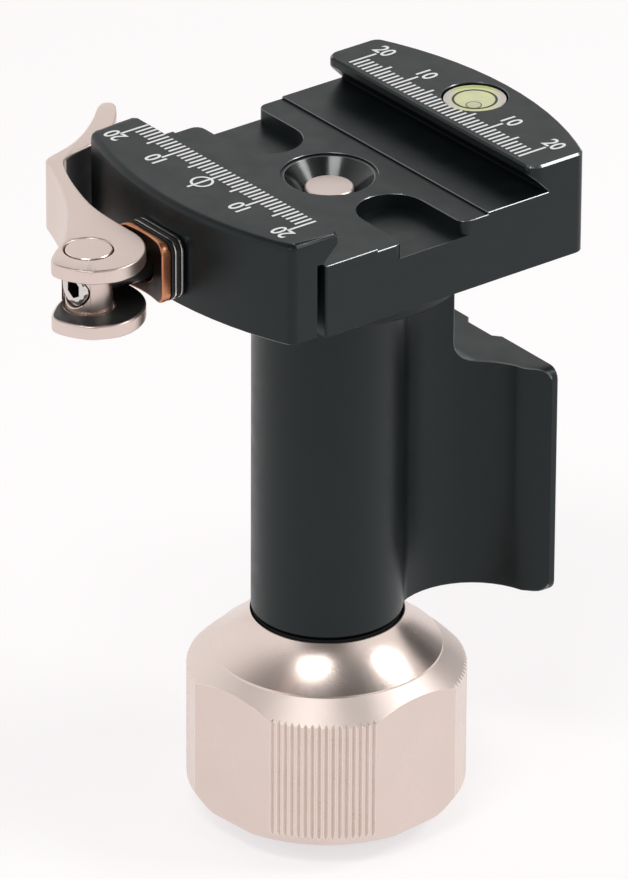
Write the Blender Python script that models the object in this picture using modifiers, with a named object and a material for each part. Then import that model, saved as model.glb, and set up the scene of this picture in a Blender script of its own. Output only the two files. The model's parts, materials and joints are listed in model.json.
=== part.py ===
"""Monopod tilt head: lever-release dovetail clamp on a column with a bracket wing, over a
knurled locking collar that grips an inverted ball.

Metres, +Z up. The origin is on the column's axis, at the base disc's bottom face. +X runs from
the lever to the level, the clamp's groove runs along Y, and the bare front is at -Y.
"""

import math

import bmesh
import bpy
from mathutils import Matrix, Vector

# clearances
FIT = 0.0003
PIN_FIT = 0.0002
LAYER_FIT = 0.00008

# base that screws on the monopod
BASE_RADIUS = 0.0125
BASE_THICKNESS = 0.0032
BASE_CHAMFER = 0.0004
THREAD_RADIUS = 0.0041
INSERT_WALL = 0.0009
INSERT_DEPTH = 0.0088
GRUB_RADIUS = 0.0012

# inverted ball and its nested rings
BALL_HEIGHT = 0.017
BALL_RADIUS = 0.010
BALL_NECK_RADIUS = 0.0065
BALL_CROWN = 0.0092
LINER_THICKNESS = 0.001
LINER_TOP_DEG = 45.0
LINER_END_DEG = 98.0

# locking collar
COLLAR_BOTTOM = 0.0036
COLLAR_RADIUS = 0.0209
COLLAR_FOOT_CHAMFER_R = 0.0013
COLLAR_FOOT_CHAMFER_H = 0.0020
COLLAR_BAND_TOP = 0.0240
COLLAR_CONE_TOP = 0.0271
COLLAR_CONE_RADIUS = 0.01735
COLLAR_SHOULDER_DROP = 0.0003
COLLAR_FLARE_BEND_RADIUS = 0.0129
COLLAR_FLARE_BEND_Z = 0.0306
COLLAR_LIP_RADIUS = 0.0116
COLLAR_TOP = 0.0332
COLLAR_NECK_BORE = 0.0114
COLLAR_BORE = 0.0163
COLLAR_BORE_TOP = 0.0243
COLLAR_INNER_CONE_TOP = 0.0278
COLLAR_FLAT_DISTANCE = 0.0192
COLLAR_FLAT_WIDTH_MARGIN = 0.004
COLLAR_SIDES = 4
COLLAR_FLAT_TURN_DEG = 6.0
KNURLS_PER_SIDE = 16
KNURL_PITCH_DEG = 2.82
KNURL_DEPTH = 0.00045
KNURL_SHARE = 0.62
KNURL_END_RISE = 0.0006

RETAINER_BOTTOM = 0.0072
RETAINER_TOP = 0.0122
RETAINER_MOUTH = 0.0089
SPANNER_HOLE_RADIUS = 0.0011
SPANNER_HOLE_DEPTH = 0.002

SOCKET_BAND_TOP = 0.0240
SOCKET_STEM_BOTTOM = 0.0275
SOCKET_TOP = 0.0326
SOCKET_SCREW_RADIUS = 0.0040
SOCKET_SCREW_HEAD_RADIUS = 0.0052
SOCKET_SCREW_HEAD_HEIGHT = 0.0026
SOCKET_SCREW_REACH = 0.0450
NECK_RING_HEIGHT = 0.0005

# column with its web, wing and round flange
COLUMN_RADIUS = 0.01133
COLUMN_BOTTOM = 0.0337
COLUMN_EDGE = 0.0004
FLANGE_RADIUS = 0.0203
FLANGE_BOTTOM = 0.0892
FLANGE_TOP = 0.0931
FLANGE_EDGE = 0.0005
WEB_ROOT_FILLET = 0.0040
WEB_ROOT_BITE = 0.00005
WEB_WAIST_X = 0.0140
WEB_WAIST_HALF = 0.00547
WEB_FLARE_RADIUS = 0.0120
WEB_FLARE_HALF = 0.01415
WEB_TOP_X = 0.0185
WEB_TOP_FILLET = 0.0030
WING_FACE_X = 0.0294
WING_LAND = 0.0011
WING_HALF = 0.01725
WING_TOP = 0.0708
WING_CORNER = 0.0018
WING_GROOVE_DEPTH = 0.0010
WING_GROOVE_MOUTH_HALF = 0.0040
WING_GROOVE_FLOOR_HALF = 0.0028
FLANGE_SCREW_CIRCLE = 0.0158
FLANGE_SCREW_RADIUS = 0.0013
FLANGE_SCREW_HEAD_RADIUS = 0.0022
FLANGE_SCREW_HEAD_HEIGHT = 0.0018
FLANGE_SCREW_REACH = 0.0050
FLANGE_SCREWS = 4
FLANGE_SCREW_TURN_DEG = 45.0
FLANGE_SCREW_SINK = 0.0020

# clamp
CLAMP_BOTTOM = 0.0934
CLAMP_TOP = 0.10935
CLAMP_FLOOR = 0.1044
CLAMP_LEDGE = 0.00035
CLAMP_LEDGE_HALF = 0.0100
CLAMP_LEFT_X = 0.0194
CLAMP_HALF_LENGTH = 0.0245
CLAMP_FRONT_CORNER = 0.0020
JAW_LIP_X = 0.01792
JAW_LIP_HEIGHT = 0.00125
JAW_LIP_CHAMFER = 0.0003
JAW_UNDERCUT = 0.00314
JAW_OUTER_X = 0.0330
JAW_OUTER_ARC = 0.0580
JAW_CORNER = 0.0018
POCKET_DEPTH = 0.0023
POCKET_HALF = 0.0053
POCKET_END_Y = 0.0097
POCKET_MOUTH = 0.0015
CENTRE_HOLE_RADIUS = 0.0071
CENTRE_CONE_RADIUS = 0.0066
CENTRE_HOLE_EDGE = 0.0003
STUD_RADIUS = 0.0036
STUD_TOP = 0.1025
STUD_REACH = 0.0265
STUD_EDGE = 0.0002
DOWEL_RADIUS = 0.0013
DOWEL_CIRCLE = 0.0162
DOWEL_SINK = 0.0026
DOWEL_REACH = 0.0042

# level in the fixed jaw
LEVEL_X = 0.02654
LEVEL_Y = -0.0003
LEVEL_BORE = 0.00494
LEVEL_DEPTH = 0.0052
VIAL_WALL = 0.0008
VIAL_SINK = 0.0002
VIAL_ROOF = 0.0009

# moving jaw, on the lever's side
MOVER_LIP_X = 0.0171
MOVER_LIP_HEIGHT = 0.0017
MOVER_LIP_CHAMFER = 0.00015
MOVER_LEDGE_GAP = 0.00035
MOVER_INNER_X = 0.0207
MOVER_OUTER_X = 0.0302
MOVER_OUTER_ARC = 0.0620
MOVER_HALF_LENGTH = 0.0243
MOVER_CORNER = 0.0016
MOVER_BOTTOM = 0.0938
MOVER_EDGE = 0.0010

GUIDE_RADIUS = 0.0013
GUIDE_Y = 0.0160
GUIDE_Z = 0.0990
GUIDE_IN_BASE = 0.0110
GUIDE_IN_JAW = 0.0058
SPRING_WIRE = 0.0003
SPRING_RADIUS = 0.0021
SPRING_TURNS = 5
SPRING_POINTS = 8
SPRING_SEAT_BASE = 0.0045
SPRING_SEAT_JAW = 0.0036

# plates that the cam presses on
PAD_HALF = 0.0056
PAD_BOTTOM = 0.0951
PAD_TOP = 0.1048
PAD_CORNER = 0.0020
PLATES_START_X = 0.0304
PLATE_NAMES = ("steel_plate", "rubber_plate", "steel_washer_plate", "shim_plate")
COPPER_START_X = 0.0326
COPPER_THICKNESS = 0.0018
COPPER_EDGE = 0.0004

# lever and its barrel
PIN_X = -0.0432
LEVER_BOTTOM = 0.0940
LEVER_TOP = 0.1050
LEVER_EDGE = 0.0003
FORK_PLATE = 0.0022
FORK_BACK_Y = 0.0040
BARREL_RADIUS = 0.0034
CAM_FLAT = 0.00845
CAM_FLAT_START_Y = 0.0006
CAM_DROP_PER_TURN = 0.0026
CAM_ARC_DEG = 96.0
CAM_ARC_STEPS = 9
LEVER_REACH = 0.0383
LEVER_BACK_SHARES = (
    (-0.105, -0.165), (-0.150, -0.105), (-0.178, -0.040), (-0.172, 0.004), (-0.105, 0.067),
    (-0.027, 0.122), (0.106, 0.281), (0.174, 0.391), (0.255, 0.548), (0.294, 0.645),
)
LEVER_FINGER_SHARES = (
    (0.318, 0.714), (0.335, 0.727), (0.443, 0.759), (0.508, 0.785), (0.592, 0.835),
    (0.684, 0.908), (0.750, 0.972),
)
LEVER_TIP_SHARES = ((0.783, 0.996), (0.806, 0.997), (0.829, 0.978), (0.829, 0.955))
LEVER_INNER_SHARES = (
    (0.785, 0.890), (0.700, 0.800), (0.620, 0.745), (0.540, 0.722), (0.460, 0.704), (0.396, 0.683),
    (0.362, 0.655), (0.307, 0.542), (0.265, 0.420), (0.236, 0.315), (0.225, 0.240), (0.2206, 0.160),
)
BOLT_RADIUS = 0.0020
BOLT_HEAD_RADIUS = 0.0026
BOLT_HEAD_LENGTH = 0.0024
BOLT_END_INSET = 0.0006
BOLT_HEX_RADIUS = 0.0015
BOLT_HEX_DEPTH = 0.0016
BOLT_IN_BASE = 0.0100

ROUND_STEPS = 56
INNER_STEPS = 32
SMALL_STEPS = 24
TINY_STEPS = 16
CORNER_STEPS = 5
FLARE_STEPS = 8
SMOOTH_DEG = 32.0

OBJECT_NAME = "monopod_tilt_head"

# colour, metallic, roughness
BLACK = ("black_anodised", (0.035, 0.04, 0.043), 0.75, 0.42)
CHAMPAGNE = ("champagne_anodised", (0.62, 0.50, 0.44), 0.85, 0.38)
STEEL = ("steel", (0.56, 0.55, 0.54), 1.0, 0.28)
COPPER = ("copper", (0.60, 0.26, 0.12), 1.0, 0.35)
DARK = ("dark_polymer", (0.012, 0.012, 0.013), 0.0, 0.55)
CLEAR = ("clear_acrylic", (0.85, 0.88, 0.80), 0.0, 0.08)
FLUID = ("level_fluid", (0.70, 0.76, 0.18), 0.0, 0.12)


def clear_scene():
    for old in list(bpy.data.objects):
        bpy.data.objects.remove(old, do_unlink=True)


clear_scene()
PARTS = bpy.data.collections.new(OBJECT_NAME)
CUTTERS = bpy.data.collections.new(OBJECT_NAME + "_cutters")
bpy.context.scene.collection.children.link(PARTS)
bpy.context.scene.collection.children.link(CUTTERS)


def material(look):
    """The Principled material of this name, made once."""
    name, colour, metallic, roughness = look
    known = bpy.data.materials.get(name)
    if known:
        return known
    made = bpy.data.materials.new(name)
    made.use_nodes = True
    shader = made.node_tree.nodes["Principled BSDF"]
    shader.inputs["Base Color"].default_value = (*colour, 1.0)
    shader.inputs["Metallic"].default_value = metallic
    shader.inputs["Roughness"].default_value = roughness
    made.diffuse_color = (*colour, 1.0)
    return made


def keep(obj, look):
    """Puts a finished piece in the parts collection with its material."""
    for home in list(obj.users_collection):
        home.objects.unlink(obj)
    PARTS.objects.link(obj)
    obj.data.materials.clear()
    obj.data.materials.append(material(look))
    obj.data.shade_smooth()
    obj.data.set_sharp_from_angle(angle=math.radians(SMOOTH_DEG))
    return obj


def hide(obj):
    """Puts a cutter in its own collection, drawn as wire and never rendered."""
    for home in list(obj.users_collection):
        home.objects.unlink(obj)
    CUTTERS.objects.link(obj)
    obj.hide_render = True
    obj.display_type = "WIRE"
    return obj


def linked(name, mesh):
    obj = bpy.data.objects.new(name, mesh)
    bpy.context.scene.collection.objects.link(obj)
    return obj


def rounded(corners):
    """Outline points from (x, y, radius) corners, each round one as an arc."""
    points = []
    count = len(corners)
    for index, (x, y, radius) in enumerate(corners):
        here = Vector((x, y))
        if radius <= 0.0:
            points.append((x, y))
            continue
        before = Vector(corners[index - 1][:2]) - here
        after = Vector(corners[(index + 1) % count][:2]) - here
        half = before.angle(after) / 2
        reach = min(radius / math.tan(half), 0.49 * before.length, 0.49 * after.length)
        true_radius = reach * math.tan(half)
        middle = here + (before.normalized() + after.normalized()).normalized() * (true_radius / math.sin(half))
        start = here + before.normalized() * reach - middle
        sweep = math.pi - 2 * half
        side = 1.0 if start.cross(here + after.normalized() * reach - middle) > 0 else -1.0
        for step in range(CORNER_STEPS + 1):
            turned_by = Matrix.Rotation(side * sweep * step / CORNER_STEPS, 2)
            spot = middle + turned_by @ start
            points.append((spot.x, spot.y))
    return points


def smooth_run(points, per_span):
    """A Catmull-Rom curve through the points, which keeps them all."""
    spots = [Vector(p) for p in points]
    run = []
    for index in range(len(spots) - 1):
        first = spots[max(index - 1, 0)]
        here = spots[index]
        there = spots[index + 1]
        last = spots[min(index + 2, len(spots) - 1)]
        for step in range(per_span):
            t = step / per_span
            spot = 0.5 * (
                2 * here
                + (there - first) * t
                + (2 * first - 5 * here + 4 * there - last) * t * t
                + (3 * here - first - 3 * there + last) * t ** 3
            )
            run.append((spot.x, spot.y))
    run.append((spots[-1].x, spots[-1].y))
    return run


def prism(name, outline, low, high, axis="Z"):
    """A flat outline given its thickness from low to high along an axis.

    The outline is (x, y) for Z, (x, z) for Y and (y, z) for X.
    """
    curve = bpy.data.curves.new(name, "CURVE")
    curve.dimensions = "2D"
    curve.fill_mode = "BOTH"
    curve.extrude = (high - low) / 2
    spline = curve.splines.new("POLY")
    spline.points.add(len(outline) - 1)
    for point, (u, v) in zip(spline.points, outline):
        point.co = (u, v, 0.0, 1.0)
    spline.use_cyclic_u = True
    drawn = linked(name + "_outline", curve)
    bpy.context.view_layer.update()
    seen = drawn.evaluated_get(bpy.context.evaluated_depsgraph_get())
    mesh = bpy.data.meshes.new_from_object(seen)
    mesh.name = name
    bpy.data.objects.remove(drawn, do_unlink=True)
    middle = (high + low) / 2
    if axis == "Z":
        place = Matrix.Translation((0.0, 0.0, middle))
    elif axis == "Y":
        place = Matrix.Translation((0.0, middle, 0.0)) @ Matrix.Rotation(math.pi / 2, 4, "X")
    else:
        place = Matrix.Translation((middle, 0.0, 0.0)) @ Matrix.Rotation(math.pi / 2, 4, "Z")
        place = place @ Matrix.Rotation(math.pi / 2, 4, "X")
    mesh.transform(place)
    body = bmesh.new()
    body.from_mesh(mesh)
    bmesh.ops.remove_doubles(body, verts=body.verts, dist=FIT / 100)
    bmesh.ops.recalc_face_normals(body, faces=body.faces)
    body.to_mesh(mesh)
    body.free()
    return linked(name, mesh)


def turned(name, profile, steps=ROUND_STEPS, closed=False, centre=(0.0, 0.0)):
    """A (radius, height) profile turned about Z, its outer side listed top to bottom."""
    mesh = bpy.data.meshes.new(name)
    count = len(profile)
    edges = [(i, i + 1) for i in range(count - 1)]
    if closed:
        edges.append((count - 1, 0))
    mesh.from_pydata([(r, 0.0, z) for r, z in profile], edges, [])
    obj = linked(name, mesh)
    obj.location = (centre[0], centre[1], 0.0)
    screw = obj.modifiers.new("turn", "SCREW")
    screw.axis = "Z"
    screw.angle = math.tau
    screw.steps = steps
    screw.render_steps = steps
    screw.use_merge_vertices = True
    screw.merge_threshold = FIT / 100
    screw.use_smooth_shade = True
    return obj


def rod(name, radius, start, end, steps=SMALL_STEPS):
    """A plain cylinder between two points."""
    start = Vector(start)
    end = Vector(end)
    way = end - start
    bpy.ops.mesh.primitive_cylinder_add(vertices=steps, radius=radius, depth=way.length)
    obj = bpy.context.active_object
    obj.name = name
    obj.data.name = name
    obj.location = (start + end) / 2
    obj.rotation_mode = "QUATERNION"
    obj.rotation_quaternion = way.to_track_quat("Z", "Y")
    return obj


def join(obj, *others, how="UNION"):
    """Adds a Boolean with each of the others, which become hidden cutters."""
    for other in others:
        hide(other)
        step = obj.modifiers.new(how.lower(), "BOOLEAN")
        step.operation = how
        step.solver = "EXACT"
        step.object = other
    return obj


def cut(obj, *others):
    return join(obj, *others, how="DIFFERENCE")


def edge_round(obj, width, segments=2, angle_deg=40.0):
    bevel = obj.modifiers.new("edge", "BEVEL")
    bevel.width = width
    bevel.segments = segments
    bevel.limit_method = "ANGLE"
    bevel.angle_limit = math.radians(angle_deg)
    return obj


def round_top_edge(obj, height, width, segments, left_of):
    """Rounds the rim of a prism's top face, where it lies left of an X."""
    body = bmesh.new()
    body.from_mesh(obj.data)
    rim = [
        edge
        for edge in body.edges
        if all(abs(v.co.z - height) < width / 100 for v in edge.verts)
        and len(edge.link_faces) == 2
        and edge.calc_face_angle(0.0) > math.radians(SMOOTH_DEG)
        and min(v.co.x for v in edge.verts) < left_of
    ]
    bmesh.ops.bevel(body, geom=rim, offset=width, segments=segments, profile=0.5, affect="EDGES")
    body.to_mesh(obj.data)
    body.free()
    return obj


def arc(radius, start_deg, end_deg, steps, centre=(0.0, 0.0)):
    """Points on a circle, both ends included."""
    spots = []
    for step in range(steps + 1):
        turn = math.radians(start_deg + (end_deg - start_deg) * step / steps)
        spots.append((centre[0] + radius * math.cos(turn), centre[1] + radius * math.sin(turn)))
    return spots


def ball_arc(radius, start_deg, end_deg, steps):
    """(radius, height) points on a sphere round the ball's centre, by the angle from +Z."""
    spots = []
    for step in range(steps + 1):
        turn = math.radians(start_deg + (end_deg - start_deg) * step / steps)
        spots.append((radius * math.sin(turn), BALL_HEIGHT + radius * math.cos(turn)))
    return spots


# base: a disc fixed on the ball's neck, with the threaded insert inside the neck
insert_outer = THREAD_RADIUS + INSERT_WALL
neck_bore = insert_outer + PIN_FIT
disc_bore = BALL_NECK_RADIUS + FIT

base_disc = keep(
    turned(
        "base_disc",
        [
            (BASE_RADIUS - BASE_CHAMFER, BASE_THICKNESS),
            (BASE_RADIUS, BASE_THICKNESS - BASE_CHAMFER),
            (BASE_RADIUS, BASE_CHAMFER),
            (BASE_RADIUS - BASE_CHAMFER, 0.0),
            (disc_bore, 0.0),
            (disc_bore, BASE_THICKNESS),
        ],
        48,
        closed=True,
    ),
    BLACK,
)
grub_height = BASE_THICKNESS / 2
cut(
    base_disc,
    rod(
        "grub_bore",
        GRUB_RADIUS + PIN_FIT,
        (disc_bore - FIT, 0.0, grub_height),
        (BASE_RADIUS + FIT, 0.0, grub_height),
        TINY_STEPS,
    ),
)
grub_screw = keep(
    rod(
        "grub_screw",
        GRUB_RADIUS,
        (disc_bore, 0.0, grub_height),
        (BASE_RADIUS - BASE_CHAMFER, 0.0, grub_height),
        TINY_STEPS,
    ),
    STEEL,
)
cut(
    grub_screw,
    rod(
        "grub_hex",
        GRUB_RADIUS / 2,
        (BASE_RADIUS - BASE_CHAMFER - GRUB_RADIUS, 0.0, grub_height),
        (BASE_RADIUS, 0.0, grub_height),
        6,
    ),
)

threaded_insert = keep(
    turned(
        "threaded_insert",
        [
            (insert_outer, INSERT_DEPTH),
            (insert_outer, BASE_CHAMFER / 2),
            (THREAD_RADIUS + BASE_CHAMFER, BASE_CHAMFER / 2),
            (THREAD_RADIUS, BASE_CHAMFER * 1.5),
            (THREAD_RADIUS, INSERT_DEPTH),
        ],
        SMALL_STEPS * 2,
        closed=True,
    ),
    STEEL,
)

neck_start_deg = 180.0 - math.degrees(math.asin(BALL_NECK_RADIUS / BALL_RADIUS))
crown_deg = math.degrees(math.acos(BALL_CROWN / BALL_RADIUS))
neck_bore_top = INSERT_DEPTH + FIT
ball = keep(
    turned(
        "ball",
        [(0.0, BALL_HEIGHT + BALL_CROWN)]
        + ball_arc(BALL_RADIUS, crown_deg, neck_start_deg, 11)
        + [
            (BALL_NECK_RADIUS, BASE_CHAMFER / 2),
            (neck_bore, BASE_CHAMFER / 2),
            (neck_bore, neck_bore_top),
            (0.0, neck_bore_top),
        ],
        INNER_STEPS,
    ),
    STEEL,
)

# two nested rings round the ball, one for each way of tilting
lower_inner = BALL_RADIUS + FIT
lower_outer = lower_inner + LINER_THICKNESS
upper_inner = lower_outer + FIT
upper_outer = upper_inner + LINER_THICKNESS
socket_inner = upper_outer + FIT


def liner(name, inner, outer, look):
    return keep(
        turned(
            name,
            ball_arc(outer, LINER_TOP_DEG, LINER_END_DEG, 5)
            + ball_arc(inner, LINER_END_DEG, LINER_TOP_DEG, 5),
            INNER_STEPS,
            closed=True,
        ),
        look,
    )


lower_liner = liner("lower_liner", lower_inner, lower_outer, DARK)
upper_liner = liner("upper_liner", upper_inner, upper_outer, DARK)

# socket over the rings, held to the column by a screw from inside
socket_outer = COLLAR_BORE - FIT
stem_radius = COLLAR_NECK_BORE - FIT
socket_rim_z = RETAINER_TOP + FIT
rim_deg = 90.0 + math.degrees(math.asin((BALL_HEIGHT - socket_rim_z) / socket_inner))
screw_seat_z = SOCKET_TOP - SOCKET_SCREW_HEAD_HEIGHT
screw_bore = SOCKET_SCREW_RADIUS + FIT
head_bore = SOCKET_SCREW_HEAD_RADIUS + FIT
mouth_deg = math.degrees(math.asin(head_bore / socket_inner))
ball_socket = keep(
    turned(
        "ball_socket",
        [
            (stem_radius, SOCKET_TOP),
            (stem_radius, SOCKET_STEM_BOTTOM),
            (socket_outer, SOCKET_BAND_TOP),
            (socket_outer, socket_rim_z),
        ]
        + ball_arc(socket_inner, rim_deg, mouth_deg, 8)
        + [(head_bore, screw_seat_z), (screw_bore, screw_seat_z), (screw_bore, SOCKET_TOP)],
        INNER_STEPS,
        closed=True,
    ),
    BLACK,
)
head_bottom_z = screw_seat_z - FIT - SOCKET_SCREW_HEAD_HEIGHT
socket_screw = keep(
    turned(
        "socket_screw",
        [
            (0.0, SOCKET_SCREW_REACH),
            (SOCKET_SCREW_RADIUS, SOCKET_SCREW_REACH),
            (SOCKET_SCREW_RADIUS, screw_seat_z - FIT),
            (SOCKET_SCREW_HEAD_RADIUS, screw_seat_z - FIT),
            (SOCKET_SCREW_HEAD_RADIUS, head_bottom_z),
            (0.0, head_bottom_z),
        ],
        SMALL_STEPS,
    ),
    STEEL,
)
cut(
    socket_screw,
    rod(
        "socket_screw_hex",
        SOCKET_SCREW_HEAD_RADIUS / 2,
        (0.0, 0.0, head_bottom_z - FIT),
        (0.0, 0.0, head_bottom_z + SOCKET_SCREW_HEAD_HEIGHT / 2),
        6,
    ),
)
neck_ring_z = SOCKET_TOP + (COLUMN_BOTTOM - SOCKET_TOP - NECK_RING_HEIGHT) / 2
neck_ring = keep(
    turned(
        "neck_ring",
        [
            (stem_radius, neck_ring_z + NECK_RING_HEIGHT),
            (stem_radius, neck_ring_z),
            (screw_bore, neck_ring_z),
            (screw_bore, neck_ring_z + NECK_RING_HEIGHT),
        ],
        INNER_STEPS,
        closed=True,
    ),
    DARK,
)

# locking collar: foot chamfer, band, cone, and a hollow flare up to the neck
flare_top = Vector((COLLAR_LIP_RADIUS, COLLAR_TOP))
flare_bend = Vector((COLLAR_FLARE_BEND_RADIUS, COLLAR_FLARE_BEND_Z))
flare_foot = Vector((COLLAR_CONE_RADIUS - COLLAR_SHOULDER_DROP / 3, COLLAR_CONE_TOP + COLLAR_SHOULDER_DROP))
flare = []
for step in range(FLARE_STEPS + 1):
    t = step / FLARE_STEPS
    spot = flare_top * (1 - t) ** 2 + flare_bend * 2 * t * (1 - t) + flare_foot * t ** 2
    flare.append((spot.x, spot.y))
lock_collar = keep(
    turned(
        "lock_collar",
        [(COLLAR_NECK_BORE, COLLAR_TOP)]
        + flare
        + [
            (COLLAR_CONE_RADIUS, COLLAR_CONE_TOP),
            (COLLAR_RADIUS, COLLAR_BAND_TOP),
            (COLLAR_RADIUS, COLLAR_BOTTOM + COLLAR_FOOT_CHAMFER_H),
            (COLLAR_RADIUS - COLLAR_FOOT_CHAMFER_R, COLLAR_BOTTOM),
            (COLLAR_BORE, COLLAR_BOTTOM),
            (COLLAR_BORE, COLLAR_BORE_TOP),
            (COLLAR_NECK_BORE, COLLAR_INNER_CONE_TOP),
        ],
        72,
        closed=True,
    ),
    CHAMPAGNE,
)
side_turn = 360.0 / COLLAR_SIDES
flat_reach = COLLAR_RADIUS + COLLAR_FLAT_WIDTH_MARGIN
flat_cutters = []
for side in range(COLLAR_SIDES):
    outline = [
        (COLLAR_FLAT_DISTANCE, -flat_reach),
        (flat_reach, -flat_reach),
        (flat_reach, flat_reach),
        (COLLAR_FLAT_DISTANCE, flat_reach),
    ]
    cutter = prism("collar_flat_%d" % side, outline, COLLAR_BOTTOM - FIT, COLLAR_TOP + FIT)
    cutter.rotation_euler = (0.0, 0.0, math.radians(COLLAR_FLAT_TURN_DEG + side * side_turn))
    flat_cutters.append(cutter)
cut(lock_collar, *flat_cutters)

knurl_half = COLLAR_RADIUS * math.radians(KNURL_PITCH_DEG) * KNURL_SHARE / 2
groove_outline = [
    (COLLAR_RADIUS - KNURL_DEPTH, 0.0),
    (COLLAR_RADIUS + KNURL_DEPTH, -2 * knurl_half),
    (COLLAR_RADIUS + KNURL_DEPTH, 2 * knurl_half),
]
grooves = bmesh.new()
first_groove = prism(
    "knurl_groove", groove_outline, COLLAR_BOTTOM - FIT, COLLAR_BAND_TOP + KNURL_END_RISE
)
for side in range(COLLAR_SIDES):
    zone_deg = COLLAR_FLAT_TURN_DEG + side_turn * (side + 0.5)
    for groove in range(KNURLS_PER_SIDE):
        turn_deg = zone_deg + (groove - (KNURLS_PER_SIDE - 1) / 2) * KNURL_PITCH_DEG
        copy = first_groove.data.copy()
        copy.transform(Matrix.Rotation(math.radians(turn_deg), 4, "Z"))
        grooves.from_mesh(copy)
        bpy.data.meshes.remove(copy)
grooves.to_mesh(first_groove.data)
grooves.free()
cut(lock_collar, first_groove)

retainer_outer = COLLAR_BORE - FIT
lip_start_deg = 90.0 + math.degrees(math.asin((BALL_HEIGHT - RETAINER_TOP) / lower_inner))
lip_end_deg = 90.0 + math.degrees(math.acos((RETAINER_MOUTH * 0.91) / lower_inner))
ball_retainer = keep(
    turned(
        "ball_retainer",
        [(retainer_outer, RETAINER_TOP), (retainer_outer, RETAINER_BOTTOM), (RETAINER_MOUTH, RETAINER_BOTTOM)]
        + ball_arc(lower_inner, lip_end_deg, lip_start_deg, 3),
        INNER_STEPS,
        closed=True,
    ),
    BLACK,
)
spanner_circle = (retainer_outer + RETAINER_MOUTH) / 2
for side, sign in (("a", 1.0), ("b", -1.0)):
    cut(
        ball_retainer,
        rod(
            "spanner_hole_" + side,
            SPANNER_HOLE_RADIUS,
            (0.0, sign * spanner_circle, RETAINER_BOTTOM - FIT),
            (0.0, sign * spanner_circle, RETAINER_BOTTOM + SPANNER_HOLE_DEPTH),
            TINY_STEPS,
        ),
    )

# column with its web and wing, in one piece with the round flange
column = turned(
    "column",
    [
        (0.0, FLANGE_TOP),
        (FLANGE_RADIUS - FLANGE_EDGE, FLANGE_TOP),
        (FLANGE_RADIUS, FLANGE_TOP - FLANGE_EDGE),
        (FLANGE_RADIUS, FLANGE_BOTTOM + FLANGE_EDGE),
        (FLANGE_RADIUS - FLANGE_EDGE, FLANGE_BOTTOM),
        (COLUMN_RADIUS, FLANGE_BOTTOM),
        (COLUMN_RADIUS, COLUMN_BOTTOM + COLUMN_EDGE),
        (COLUMN_RADIUS - COLUMN_EDGE, COLUMN_BOTTOM),
        (0.0, COLUMN_BOTTOM),
    ],
)
flare_end_deg = math.degrees(math.acos(1.0 - (WEB_FLARE_HALF - WEB_WAIST_HALF) / WEB_FLARE_RADIUS))
flare_centre = Vector((WEB_WAIST_X, WEB_WAIST_HALF + WEB_FLARE_RADIUS))
land_x = WING_FACE_X - WING_LAND

# the web's root is an arc that touches both the column and the flare
root_reach = COLUMN_RADIUS + WEB_ROOT_FILLET - WEB_ROOT_BITE
root_inset = WEB_FLARE_RADIUS - WEB_ROOT_FILLET
root_along = (root_reach ** 2 - root_inset ** 2 + flare_centre.length_squared) / (2 * flare_centre.length)
root_aside = math.sqrt(root_reach ** 2 - root_along ** 2)
root_way = flare_centre.normalized()
root_centre = root_way * root_along + Vector((root_way.y, -root_way.x)) * root_aside
root_start_deg = math.degrees(math.atan2(-root_centre.y, -root_centre.x))
to_root = root_centre - flare_centre
root_end_deg = math.degrees(math.atan2(to_root.y, to_root.x))
root_run = arc(WEB_ROOT_FILLET, root_start_deg, root_end_deg, CORNER_STEPS, root_centre)
wing_side = (
    [(0.0, root_run[0][1])]
    + root_run[:-1]
    + arc(WEB_FLARE_RADIUS, root_end_deg, -90.0 + flare_end_deg, 12, flare_centre)
    + [
        (land_x, WING_HALF),
        (WING_FACE_X, WING_HALF),
        (WING_FACE_X, WING_GROOVE_MOUTH_HALF),
        (WING_FACE_X - WING_GROOVE_DEPTH, WING_GROOVE_FLOOR_HALF),
    ]
)
wing_outline = wing_side + [(x, -y) for x, y in reversed(wing_side)]
wing_overlap = (FLANGE_TOP - FLANGE_BOTTOM) / 2
wing = prism("wing", wing_outline, COLUMN_BOTTOM, FLANGE_BOTTOM + wing_overlap)
above_wing = rounded(
    [
        (WEB_TOP_X, WING_TOP, WEB_TOP_FILLET),
        (WING_FACE_X + WING_LAND, WING_TOP, 0.0),
        (WING_FACE_X + WING_LAND, FLANGE_TOP, 0.0),
        (WEB_TOP_X, FLANGE_TOP, 0.0),
    ]
)
wing_envelope = rounded(
    [
        (-WING_HALF, COLUMN_BOTTOM, WING_CORNER),
        (WING_HALF, COLUMN_BOTTOM, WING_CORNER),
        (WING_HALF, WING_TOP, WING_CORNER),
        (COLUMN_RADIUS, WING_TOP, 0.0),
        (COLUMN_RADIUS, FLANGE_TOP, 0.0),
        (-COLUMN_RADIUS, FLANGE_TOP, 0.0),
        (-COLUMN_RADIUS, WING_TOP, 0.0),
        (-WING_HALF, WING_TOP, WING_CORNER),
    ]
)
cut(wing, prism("above_wing", above_wing, -FLANGE_RADIUS, FLANGE_RADIUS, "Y"))
join(wing, prism("wing_envelope", wing_envelope, -COLUMN_RADIUS, WING_FACE_X + WING_LAND, "X"), how="INTERSECT")
join(column, wing)
stud_bore = STUD_RADIUS + FIT
stud_bottom = STUD_TOP - STUD_REACH
cut(
    column,
    rod("socket_screw_bore", screw_bore, (0.0, 0.0, COLUMN_BOTTOM - FIT), (0.0, 0.0, SOCKET_SCREW_REACH + FIT)),
    rod("stud_bore", stud_bore, (0.0, 0.0, stud_bottom - FIT), (0.0, 0.0, FLANGE_TOP + FIT)),
)
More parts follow.
